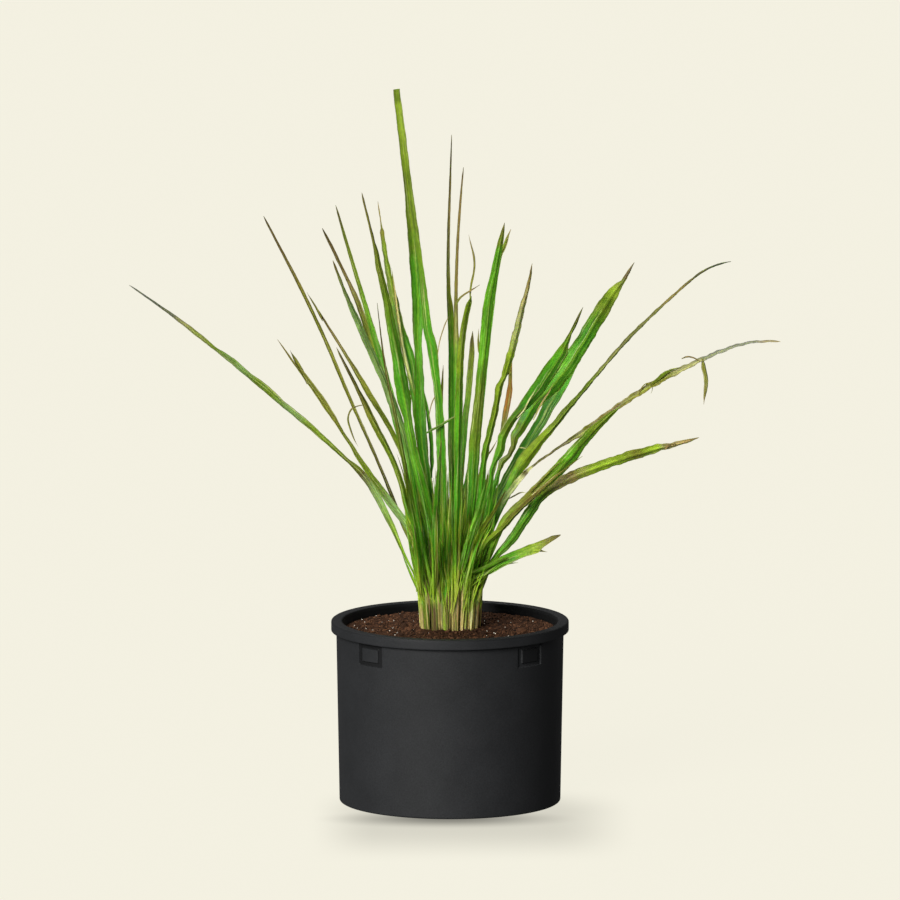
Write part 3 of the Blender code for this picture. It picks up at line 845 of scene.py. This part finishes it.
def add_sheath(surface, foot, top, radius, rng, colour, seed, layer):
    """A papery leaf sheath that wraps most of the stem, opens upwards and ends in a slanting edge."""
    start, sweep = rng.uniform(0, TURN), rng.uniform(2.2, 4.0)
    reach = rng.uniform(0.55, 1.05)
    rise = np.linspace(-0.04, reach, 18)
    line = foot + (top - foot) * rise[:, None]
    share = np.linspace(-1, 1, 14)
    slant = 1 - rng.uniform(0.15, 0.4) * (np.abs(share) ** 1.6)[None] * (rise[:, None] / reach)
    flare = rng.uniform(-0.2, 0.06) * smoothstep(rise, reach * 0.55, reach) + 0.03 * wander(rng, rise, 0.4)
    outer = radius * (0.93 + 0.035 * layer + flare[:, None] + 0.05 * np.abs(share[None]) ** 3)
    turn = round_about(unit(top - foot), start + share / 2 * sweep)
    height = foot + (top - foot) * (rise[:, None] * slant)[..., None]
    ribs = 0.12 * MM * np.cos(share * 22)[None]
    top_side = height + turn * (outer + ribs)[..., None]
    under = height + turn * (outer - 0.35 * MM)[..., None]
    rings = np.concatenate([top_side, under[:, -2:0:-1]], axis=1)
    around = np.concatenate([share, share[-2:0:-1]])
    tints = colour * (0.85 + 0.25 * np.cos(around * 9 + seed)[None, :, None]) * np.ones((len(rise), 1, 1))
    tints = blend_to(tints, PALETTE["bark"] * 0.8, smoothstep(np.abs(around), 0.8, 1)[None] * 0.6)
    tints = greened(line, tints, "fresh" if layer == 0 else "lime", rng.uniform(0.224, 0.24))
    surface.loft(rings, tints, seed)


for stem in STEM_COLOURS:
    make_stem(stem)

# ---- fine growth of the crown

CROWN_FOOT = 0.222
CROWN_TOP = 0.388
# Half width and half depth of the crown at the ground in mm
CROWN_RADII = 35.5, 32.5
# How far from its middle line the clump reaches to either side at some heights
FLANK_HEIGHTS = 0.21, 0.25, 0.27, 0.30, 0.33, 0.36, 0.40
FLANK_REACHES = 0.0355, 0.037, 0.041, 0.047, 0.051, 0.054, 0.06
UP = np.array([0, 0, 1])


def strip_course(points, width, taper, step, across):
    """A course for a free strip through a few points, full width from the root and narrowing to the tip."""
    points = np.asarray(points, float)
    share = distances(points)
    widths = np.maximum(width * np.clip(1 - (share / share[-1]) ** taper, 0, 1), 0.35 * MM)
    return Course(points, np.repeat(unit(np.asarray(across, float))[None], len(points), 0), widths, step)


def heading(bearing):
    return np.array([cos(bearing), sin(bearing), 0])


class Growth:
    """Many free strips of one kind, dealt out in turn to a few pieces."""

    def __init__(self, seed, letters, colours, wave, keel, edge, rib, root=0.65):
        self.rng = np.random.default_rng(seed)
        self.surfaces = {letter: Surface() for letter in letters}
        self.colours, self.wave, self.keel = colours, wave, keel
        self.look = (edge, rib, root)

    def add(self, turn, seed, line, width, taper, step, facing, brightness=1):
        strip = strip_course(line, width, taper, step, facing)
        rings, u = blade_rings(strip, self.rng, self.wave, self.keel, 5)
        stops = self.colours[self.rng.integers(len(self.colours))]
        tints = blade_tints(strip, self.rng, stops, u, *self.look) * brightness
        surface = list(self.surfaces.values())[turn % len(self.surfaces)]
        surface.loft(rings, tints, seed)

    def pieces(self, name, material=BLADE, slot="green_leaf"):
        for letter, surface in self.surfaces.items():
            surface.piece(name + letter, material, slot)


FILLER_COLOURS = (
    "0 straw, .2 lime, .4 green, .8 moss, 1 moss",
    "0 lime, .2 green, .6 fresh, 1 moss",
    "0 moss, .2 deep, .7 green, 1 moss",
    "0 green, .3 fresh, .8 green, 1 moss",
    "0 tan, .3 olive, .7 moss, 1 bark",
    "0 pale, .25 lime, .6 moss, 1 lime",
    "0 fresh, .5 deep, 1 green",
)


SHORT_COMPANIONS = (1, 2, 3, 20, 21, 22, 23, 24, 25, 26, 27, 28, 29, 30)


def make_companions():
    """Younger, narrower blades that rise beside each leaf and leave it low down."""
    growth = Growth(31, ("_a", "_b"), FILLER_COLOURS, wave=0.25, keel=0.35, edge=0.4, rib=0.2)
    rng = growth.rng
    for number, course in COURSES.items():
        short = number in SHORT_COMPANIONS
        for turn in range(3 if short else 6):
            longest = (60 if short else 165) * MM
            reach = rng.uniform(0.4, 1.0) * longest / course.length
            end = max(6, int(min(reach, 0.6) * len(course.along)))
            picks = np.unique(np.linspace(0, end, 6).astype(int))
            share = (picks / end)[:, None]
            sway = rng.normal(0, 1.2 if short else 2.6)
            drift = np.array([sway, rng.uniform(-16, 12), rng.normal(0, 2)]) * MM
            start = np.array([rng.normal(0, 1.8), rng.normal(-1, 3.0), -rng.uniform(4, 20)]) * MM
            line = course.centre[picks] + start * (1 - share) + drift * share**1.4
            width = rng.uniform(1.8, 4.4) * MM
            facing = heading(rng.uniform(-0.9, 0.9))
            growth.add(turn, number * 10 + turn, line, width, rng.uniform(2, 4), 3.4 * MM, facing)
    growth.pieces("companion_blades")


def held_in(line):
    """Keeps a crown blade within the clump's flanks, which open out with height."""
    flank = np.interp(line[:, 2], FLANK_HEIGHTS, FLANK_REACHES)
    held = line.copy()
    held[:, 0] = np.clip(line[:, 0], -flank, flank)
    return held


def crown_place(bearing, spread, height):
    """A point of the crown in a direction, a share of the way out from its middle to its flank."""
    reach = 1 / hypot(cos(bearing) / CROWN_RADII[0], sin(bearing) / CROWN_RADII[1]) * MM
    return heading(bearing) * reach * spread + UP * height


def make_crown_fill():
    """Fine blades packed over the whole crown, fanning outwards, which close it up above the stems."""
    growth = Growth(47, ("_a", "_b", "_c"), FILLER_COLOURS, wave=0.2, keel=0.35, edge=0.4, rib=0.2)
    rng = growth.rng
    share = np.linspace(0, 1, 6)[:, None]
    for index in range(330):
        bearing = rng.uniform(0, TURN)
        spread = rng.uniform(0.75, 1.0) if index % 2 else sqrt(rng.uniform(0, 0.9))
        foot = crown_place(bearing, spread, rng.uniform(CROWN_FOOT, 0.27))
        height = rng.uniform(35, 125) * MM * (1.15 - 0.4 * spread)
        splay = spread * rng.uniform(0.2, 0.42)
        line = foot + heading(bearing) * height * splay * share**1.35 + UP * height * share
        line = held_in(line + share**2 * rng.normal(0, 3, 3) * MM)
        width = rng.uniform(1.1, 2.8) * MM
        facing = heading(rng.uniform(-1.2, 1.2))
        growth.add(index, index, line, width, rng.uniform(1.8, 3.5), 3.4 * MM, facing)
    growth.pieces("crown_blades")


def make_crown_mass():
    """The upright heart of the clump, dense enough to hide what is behind it as far as its shoulders."""
    growth = Growth(53, ("_a", "_b"), FILLER_COLOURS, wave=0.2, keel=0.35, edge=0.4, rib=0.2)
    rng = growth.rng
    share = np.linspace(0, 1, 6)[:, None]
    for index in range(230):
        bearing, spread = rng.uniform(0, TURN), sqrt(rng.uniform(0, 0.95))
        foot = crown_place(bearing, spread, rng.uniform(CROWN_FOOT, 0.25))
        height = rng.uniform(75, 165) * MM
        widening = 1 + rng.uniform(0.25, 0.5) * height / (120 * MM)
        top = foot * (widening, widening, 1) + UP * height
        line = held_in(foot + (top - foot) * share + share**2 * rng.normal(0, 2.2, 3) * MM)
        facing = heading(rng.uniform(-0.8, 0.8))
        growth.add(index, index, line, rng.uniform(2.2, 5.0) * MM, rng.uniform(2, 4), 4 * MM, facing)
    growth.pieces("crown_heart")


VEIL_COLOURS = (
    "0 straw, .4 lime, 1 moss",
    "0 lime, .5 fresh, 1 green",
    "0 deep, .6 pine, 1 deep",
    "0 bark, .5 moss, 1 green",
    "0 sage, .6 green, 1 deep",
    "0 straw, .5 lime, 1 green",
    "0 fresh, .5 green, 1 moss",
    "0 green, .5 fresh, 1 fresh",
)


def make_crown_veil():
    """Very fine young blades and threads over the outside of the crown."""
    growth = Growth(67, ("",), VEIL_COLOURS, wave=0.15, keel=0.3, edge=0.25, rib=0.1)
    rng = growth.rng
    share = np.linspace(0, 1, 5)[:, None]
    for index in range(300):
        bearing = rng.uniform(0, TURN)
        base = rng.uniform(0.22, 0.32)
        height = min(rng.uniform(25, 90) * MM, CROWN_TOP - base)
        widening = 1 + 0.4 * (base - CROWN_FOOT) / 0.12
        foot = crown_place(bearing, widening * rng.uniform(0.86, 1.03), base)
        splay = rng.uniform(0.12, 0.42)
        line = foot + heading(bearing) * height * splay * share**1.3 + UP * height * share
        line = held_in(line + share * rng.normal(0, 6, 3) * MM)
        facing = heading(rng.uniform(-0.7, 0.7))
        growth.add(0, index, line, rng.uniform(1.0, 2.1) * MM, rng.uniform(2, 4), 4.5 * MM, facing)
    growth.pieces("crown_fine_threads")


CULM_COLOURS = (
    "0 straw, .5 straw, .8 tan, 1 moss",
    "0 tan, .5 straw, .8 moss, 1 green",
    "0 tan, .4 tan, .8 olive, 1 moss",
    "0 olive, .6 lime, 1 green",
    "0 bark, .5 tan, 1 moss",
    "0 tan, .5 straw, 1 lime",
    "0 straw, .4 pale, .8 lime, 1 green",
    "0 umber, .5 bark, 1 moss",
    "0 umber, .4 moss, 1 green",
)


def make_culms():
    """Thin old stalks and sheath strands that stand between and round the stem bases."""
    growth = Growth(61, ("_a", "_b"), CULM_COLOURS, wave=0.15, keel=0.7, edge=0.5, rib=0.2, root=0)
    rng = growth.rng
    soil_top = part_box("soil")[1].z
    share = np.linspace(0, 1, 5)[:, None]
    for index in range(210):
        bearing = rng.uniform(0, TURN)
        spread = rng.uniform(0.86, 1.0) if index % 3 else sqrt(rng.uniform(0.05, 0.8))
        foot = crown_place(bearing, spread, soil_top - 3 * MM)
        rise = rng.uniform(30, 92) * MM
        lean = 1 + rng.uniform(0.03, 0.22) * rise / (60 * MM)
        top = foot * (lean, lean, 1) + UP * rise
        line = foot + (top - foot) * share + np.sin(share * 3.1) * rng.normal(0, 0.7, 3) * MM
        facing = heading(bearing + pi / 2 + rng.uniform(-0.5, 0.5))
        width = rng.uniform(1.6, 4.2) * MM
        # painted light and shade on the old stalks, as on the stems
        growth.add(index, index, line, width, 6, 3 * MM, facing, painted_side_light(foot[0]))
    growth.pieces("crown_old_stalks", STEM, "straw_stem")


make_companions()
make_crown_fill()
make_crown_mass()
make_crown_veil()
make_culms()

# ---- dry strands, twigs and torn tips
# The leaf beside it, mm in front of that leaf, width in mm, colours, then X and the seen height in mm
STRANDS = (
    (4, 2, 2.6, "0 bark, .5 olive, 1 bark", "-103 472, -113 468, -119 455, -117 445, -111 428, -108 421"),
    (16, 0, 3.0, "0 moss, .3 olive, 1 bark", "23 592, 26 612, 29 632, 27 650, 24 662, 21 672"),
    (16, 2, 3.6, "0 moss, .6 tan, 1 umber", "8 590, 14 598, 23 606, 35 612"),
    (13, 3, 1.6, "0 bark, 1 tan", "-2 577, -8 562, -12 545, -15 526"),
    (13, 3, 1.6, "0 bark, 1 tan", "-18 482, -21 470, -25 452"),
    (7, 3, 2.0, "0 bark, 1 umber", "-63 492, -60 476, -54 453"),
    (26, 1, 2.2, "0 bark, 1 bark", "272 527.5, 280 529, 289 526, 298 521"),
    (26, 2, 6.0, "0 olive, .5 olive, 1 bark", "296 526, 300 514, 302 500, 301 486, 298 472"),
    (26, 1, 1.8, "0 bark, 1 olive", "222 484, 225 492, 232 497, 238 493, 236 485"),
    (26, 1, 6.0, "0 olive, .5 moss, 1 olive", "236 496, 247 505, 258 512, 270 516"),
    (29, 1, 5.0, "0 lime, .6 olive, 1 bark", "94 296, 102 297, 114 297"),
    (29, 2, 4.0, "0 green, 1 moss", "54 275, 66 280, 79 283"),
    (2, 1, 5.0, "0 olive, .6 olive, 1 umber", "-168 497, -175 511, -183 527, -188 537"),
    (18, 1, 3.2, "0 moss, 1 bark", "36 530, 34 545, 33 562"),
    (19, 1, 2.4, "0 moss, 1 straw", "60 650, 66 664, 71 680"),
    (28, 1, 3.5, "0 tan, 1 bark", "252 419, 260 425, 267 424"),
    (13, 6, 5.0, "0 green, .5 green, 1 moss", "-28 438, -12 446, 3 455, 17 464"),
    (12, 3, 5.5, "0 deep, .5 green, 1 green", "-22 385, -22.5 410, -23 430, -25 450, -28 470, -31 490"),
    (29, 7, 9.0, "0 deep, .3 green, .7 fresh, 1 moss", "16 268, 29 272, 44 279, 60 287, 72 291"),
    (10, 5, 4.4, "0 lime, .3 pale, .8 straw, 1 moss",
     "-42 480, -48 504, -56 538, -62 570, -65 605, -69 635"),
    (20, 1, 2.2, "0 umber, 1 bark", "45 413, 50 420, 55 430"),
    (24, 8, 1.8, "0 pale, 1 pale", "81 421, 87 419, 94 416.5"),
    (23, 6, 2.6, "0 pale, .3 straw, .6 tan, 1 olive", "99 453, 104 464, 110 476, 116 487, 122 499"),
    (22, 5, 2.0, "0 pale, .6 pale, 1 sage", "80 456, 86 466, 92 476, 98 486, 104 497"),
    (25, 5, 3.0, "0 sage, .5 pale, 1 pale", "68 361, 75 372, 83 384, 90 396"),
    (25, 6, 2.2, "0 deep, 1 umber", "73 366, 80 377, 87 388, 90 396"),
    (26, 3, 2.6, "0 umber, .6 umber, 1 pale", "70 360, 77 364, 84 368, 91 366"),
    (27, 3, 2.4, "0 bark, .5 olive, 1 bark", "93 368, 105 380, 119 394, 134 408"),
    (27, 3, 2.0, "0 pale, .6 straw, 1 straw", "97 364, 110 376, 124 388, 139 400"),
    (5, 1, 2.4, "0 olive, 1 umber", "-150 572, -160 591, -168 605"),
)


def place_beside(number, x, seen_height, forward):
    """The point at this X and seen height, in front of the nearest part of the leaf."""
    centre = COURSES[number].centre
    seen = centre[:, 2] + tan(VIEW_ELEVATION) * centre[:, 1]
    nearest = np.argmin((centre[:, 0] - x * MM) ** 2 + (seen - seen_height * MM) ** 2)
    depth = centre[nearest, 1] - forward * MM
    return [x * MM, depth, seen_height * MM - tan(VIEW_ELEVATION) * depth]


def make_strands():
    rng = np.random.default_rng(91)
    surface = Surface()
    for number, forward, width, stops, run in STRANDS:
        line = [place_beside(number, x, height, forward) for x, height in rows_of(run)]
        line = np.array(line) + rng.normal(0, 0.5, (len(line), 3)) * MM
        strip = strip_course(line, width * MM, 5, 1.8 * MM, [0.8, 0.5, 0.35])
        rings, u = blade_rings(strip, rng, 0.5, 0.8, 7)
        surface.loft(rings, blade_tints(strip, rng, stops, u, 0.5, 0.15), number)
    surface.piece("dry_strands_and_torn_tips", DRY, "green_leaf")


make_strands()

# ---- potting mix


SOIL_LEVEL = 206  # mm, in the middle
SLOPE_START, SLOPE_LENGTH = 48 * MM, 76.3 * MM
HEAP_START, HEAP_FADE = 34 * MM, 9 * MM


def soil_height(x, y):
    """Rough ground that keeps to the CAD soil's shape: level round the crown and lower at the pot."""
    far = hypot(x, y)
    level = SOIL_LEVEL - 1.5 * min(max((far - SLOPE_START) / SLOPE_LENGTH, 0), 1)
    place = Vector((x, y, 0)) * 1000
    bumps = 1.1 * noise.noise(place / 17) + 0.9 * noise.noise(place / 6.5) + 0.5 * noise.noise(place / 2.6)
    heap = 1.6 * exp(-((max(far - HEAP_START, 0) / HEAP_FADE) ** 2))
    return (level + bumps + heap - 0.4) * MM


def make_soil():
    """Rough ground over a plain root ball. Gives the radius of the ground."""
    low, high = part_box("soil")
    radius = high.x - 0.2 * MM
    rings, around = 84, 300
    turns = [heading(TURN * step / around) for step in range(around)]
    points = [(0, 0, soil_height(0, 0))]
    for far in radius * np.arange(1, rings + 1) / rings:
        points += [(x, y, soil_height(x, y)) for x, y, _ in (far * turn for turn in turns)]
    floor = low.z + 0.3 * MM
    points += [(x, y, floor) for x, y, _ in ((radius - 3 * MM) * turn for turn in turns)] + [(0, 0, floor)]
    last = len(points) - 1
    faces = [face[::-1] for face in ring_faces(rings + 1, around, 1)]
    for step in range(around):
        after = (step + 1) % around
        faces += [(0, 1 + step, 1 + after), (last - around + step, last, last - around + after)]
    mesh = new_mesh("potting_mix", points, faces)
    add_piece("potting_mix", mesh, SOIL, ["soil"], 50)
    return radius


def icosphere(subdivisions):
    ball = bmesh.new()
    bmesh.ops.create_icosphere(ball, subdivisions=subdivisions, radius=1)
    points = np.array([vertex.co[:] for vertex in ball.verts])
    faces = np.array([[vertex.index for vertex in face.verts] for face in ball.faces])
    ball.free()
    return points, faces


def random_frames(rng, sizes):
    """Random rotations, each scaled by its row of three sizes."""
    turns = np.linalg.qr(rng.normal(size=(len(sizes), 3, 3)))[0]
    turns *= np.sign(np.linalg.det(turns))[:, None, None]
    return turns * sizes[:, None, :]


def scattered(rng, count, radius, low_share=0.0):
    far = radius * np.sqrt(rng.uniform(low_share, 1, count))
    bearing = rng.uniform(0, TURN, count)
    places = np.stack([far * np.cos(bearing), far * np.sin(bearing), np.zeros(count)], 1)
    places[:, 2] = [soil_height(x, y) for x, y, _ in places]
    return places


def lumpy(rng, count, ball, low, high, dark, light):
    """Uneven copies of a ball, each with a tint between two shades."""
    shapes = ball[None] * rng.uniform(low, high, (count, len(ball), 1))
    warm = rng.uniform(0, 1, (count, 1))
    return shapes, dark * (1 - warm) + light * warm


def make_crumbs(radius):
    rng = np.random.default_rng(71)
    ball, faces = icosphere(1)
    surface = Surface()
    count = 2300
    places = scattered(rng, count, radius - 2.5 * MM)
    size = np.exp(rng.normal(log(1.15), 0.38, count)) * MM
    sizes = size[:, None] * rng.uniform(0.55, 1.35, (count, 3))
    shapes, tints = lumpy(rng, count, ball, 0.72, 1.25, linear(30, 19, 12), linear(84, 56, 38))
    surface.lumps(shapes, faces, places, random_frames(rng, sizes), tints)
    count = 260
    places = scattered(rng, count, radius - 7 * MM)
    sizes = np.stack([rng.uniform(*span, count) for span in ((2.2, 5.5), (0.6, 1.2), (0.35, 0.8))], 1) * MM
    bearing = rng.uniform(0, TURN, count)
    frames = np.zeros((count, 3, 3))
    frames[:, :2, 0] = np.stack([np.cos(bearing), np.sin(bearing)], 1)
    frames[:, 2, 0] = rng.normal(0, 0.2, count)
    frames[:, :2, 1] = np.stack([-np.sin(bearing), np.cos(bearing)], 1)
    frames[:, 2, 2] = 1
    shapes, tints = lumpy(rng, count, ball, 0.75, 1.2, linear(44, 29, 19), linear(108, 74, 50))
    surface.lumps(shapes, faces, places, frames * sizes[:, None, :], tints)
    surface.piece("soil_crumbs_and_bark", CRUMB, "soil", smooth=0)


def make_perlite(radius):
    rng = np.random.default_rng(85)
    ball, faces = icosphere(2)
    surface = Surface()
    count = 70
    places = scattered(rng, count, radius - 3 * MM, 0.1)
    places[:, 2] += 0.5 * MM
    size = rng.uniform(0.32, 0.68, count) * MM
    sizes = size[:, None] * rng.uniform(0.75, 1.25, (count, 3))
    white = linear(226, 220, 206)
    shapes, tints = lumpy(rng, count, ball, 0.85, 1.12, white * 0.7, white)
    surface.lumps(shapes, faces, places, random_frames(rng, sizes), tints)
    surface.piece("perlite_grains", PERLITE, "soil", smooth=0)


soil_radius = make_soil()
make_crumbs(soil_radius)
make_perlite(soil_radius)

# ---- pot

FRAME_AZIMUTHS = [radians(90 * n - 45) for n in range(4)]
FRAME_RADIUS = 133.6  # mm, of the wall where the frames are
FRAME_HALF_WIDTH = 19 * MM
FRAME_TOP, FRAME_BOTTOM = 201.5 * MM, 176.5 * MM
FRAME_SIDE, FRAME_BAR, FRAME_DEPTH = 6 * MM, 4.5 * MM, 2 * MM
WALL_RADII = 129 * MM, 134.2 * MM
SOFT_EDGE = 0.5 * MM
HOLES, HOLE_CIRCLE, HOLE_RADIUS = 8, 88, 6  # the radii in mm


def pot_profile():
    """The pot's outline from the middle of its floor inside, over the rim and down to the middle beneath."""
    def arc(x, z, r, start, end, steps=5):
        angles = np.radians(np.linspace(start, end, steps))
        return [(x + r * cos(a), z + r * sin(a)) for a in angles]

    inside = [(0, 5), (60, 5), (110, 5), (118, 5)] + arc(118.5, 8, 3, -90, 0)
    inside += [(121.5 + 3.1 * s, 8 + 196.5 * s) for s in np.linspace(0.08, 0.97, 12)]
    inside += [(124.6, 204.5), (125.2, 206.5), (126.4, 211)] + arc(128.6, 213.3, 1.6, 180, 90)
    rim = [(130, 215), (132, 215), (134, 215), (136, 215)] + arc(138.3, 213.3, 1.7, 90, 0)
    rim += [(140, 211), (140, 208), (140, 205.5)] + arc(139, 204, 1, 0, -90) + [(137, 203), (135.5, 203)]
    heights = np.concatenate([np.arange(202, 175.5, -0.62), np.linspace(174, 10, 18)])
    wall = [(134.4, 202.8), (134.05, 202.3)] + [(130.3 + 3.7 * z / 203, z) for z in heights]
    foot = [(130.4, 5), (130.35, 3.2)] + arc(128.35, 2, 2, 0, -90) + [(120, 0), (108, 0), (101, 0)]
    channel = [(100, 0.1), (98.2, 1.9), (97, 2), (88, 2), (79, 2), (77.8, 1.9), (76, 0.1), (75, 0)]
    return np.array(inside + rim + wall + foot + channel + [(50, 0), (20, 0), (0, 0)]) * MM


def from_frame(angle):
    """The angle from the nearest moulded frame's middle."""
    return min(abs((angle - middle + pi) % TURN - pi) for middle in FRAME_AZIMUTHS)


def pot_angles():
    """Steps round the pot, close together across each moulded frame."""
    close = radians(9.4)
    wide = [step for step in (TURN * n / 144 for n in range(144)) if from_frame(step) >= close]
    fine = [middle + d for middle in FRAME_AZIMUTHS for d in np.linspace(-close, close, 68)]
    return sorted({round(angle % TURN, 6) for angle in wide + fine})


def frame_parts(angle, far, height):
    """How far a place on the pot belongs to a moulded frame's sunk border and to its level panel."""
    if not WALL_RADII[0] < far < WALL_RADII[1] or not FRAME_BOTTOM - 2 * MM < height < FRAME_TOP + 2 * MM:
        return 0, 0
    across = from_frame(angle) * FRAME_RADIUS * MM

    def inside(half_width, bottom, top):
        edges = (half_width - across, height - bottom, top - height)
        return min(float(smoothstep(edge, -SOFT_EDGE, SOFT_EDGE)) for edge in edges)

    border = inside(FRAME_HALF_WIDTH, FRAME_BOTTOM, FRAME_TOP)
    panel = inside(FRAME_HALF_WIDTH - FRAME_SIDE, FRAME_BOTTOM + FRAME_BAR, FRAME_TOP - FRAME_BAR)
    return min(border, 1 - panel), panel


def make_pot():
    profile, angles = pot_profile(), pot_angles()
    points = []
    for far, height in profile:
        for angle in angles:
            depth = FRAME_DEPTH * frame_parts(angle, far, height)[0]
            points.append(((far - depth) * cos(angle), (far - depth) * sin(angle), height))
    mesh = new_mesh("pot_shell", points, ring_faces(len(profile), len(angles)))
    shell = bmesh.new()
    shell.from_mesh(mesh)
    bmesh.ops.remove_doubles(shell, verts=shell.verts, dist=0.02 * MM)
    bmesh.ops.recalc_face_normals(shell, faces=shell.faces)
    shell.to_mesh(mesh)
    shell.free()
    mesh = drilled(mesh)
    paint_frame_shade(mesh)
    add_piece("pot_shell", mesh, PLASTIC, ["pot"], 45)


def paint_frame_shade(mesh):
    """Paints light and shade on the moulded frames: painted shade in the grooves on the left of the pot, and
    on the right painted light on the borders and painted shade on the panels.
    """
    groove_shading = mesh.attributes.new("mould", "FLOAT", "POINT")
    values = np.ones(len(mesh.vertices))
    for vertex in mesh.vertices:
        x, y, z = vertex.co
        if FRAME_BOTTOM < z < FRAME_TOP:
            border, panel = frame_parts(atan2(y, x), hypot(x, y), z)
            # painted shade in the grooves on the left; painted light on the borders and painted shade on the
            # panels on the right
            values[vertex.index] = 1 + 0.3 * border - 0.5 * panel if x > 0 else 1 - 0.62 * border
    groove_shading.data.foreach_set("value", values)


def drilled(mesh):
    """The mesh with the ring of drain holes cut through its floor."""
    points, faces, sides = [], [], 24
    for hole in range(HOLES):
        middle = heading(radians(22.5 + 45 * hole)) * HOLE_CIRCLE * MM
        first = len(points)
        for height in (-3 * MM, 9 * MM):
            ring = [middle + heading(TURN * n / sides) * HOLE_RADIUS * MM for n in range(sides)]
            points += [(x, y, height) for x, y, _ in ring]
        faces += [range(first + sides - 1, first - 1, -1), range(first + sides, first + 2 * sides)]
        faces += ring_faces(2, sides, first)
    pot, drills = add_object("undrilled", mesh), add_object("drills", new_mesh("drills", points, faces))
    cut = pot.modifiers.new("holes", "BOOLEAN")
    cut.object = drills
    cut.operation = "DIFFERENCE"
    cut.solver = "EXACT"
    graph = bpy.context.evaluated_depsgraph_get()
    finished = bpy.data.meshes.new_from_object(pot.evaluated_get(graph), depsgraph=graph)
    for spent in (pot, drills):
        bpy.data.objects.remove(spent)
    return finished


make_pot()
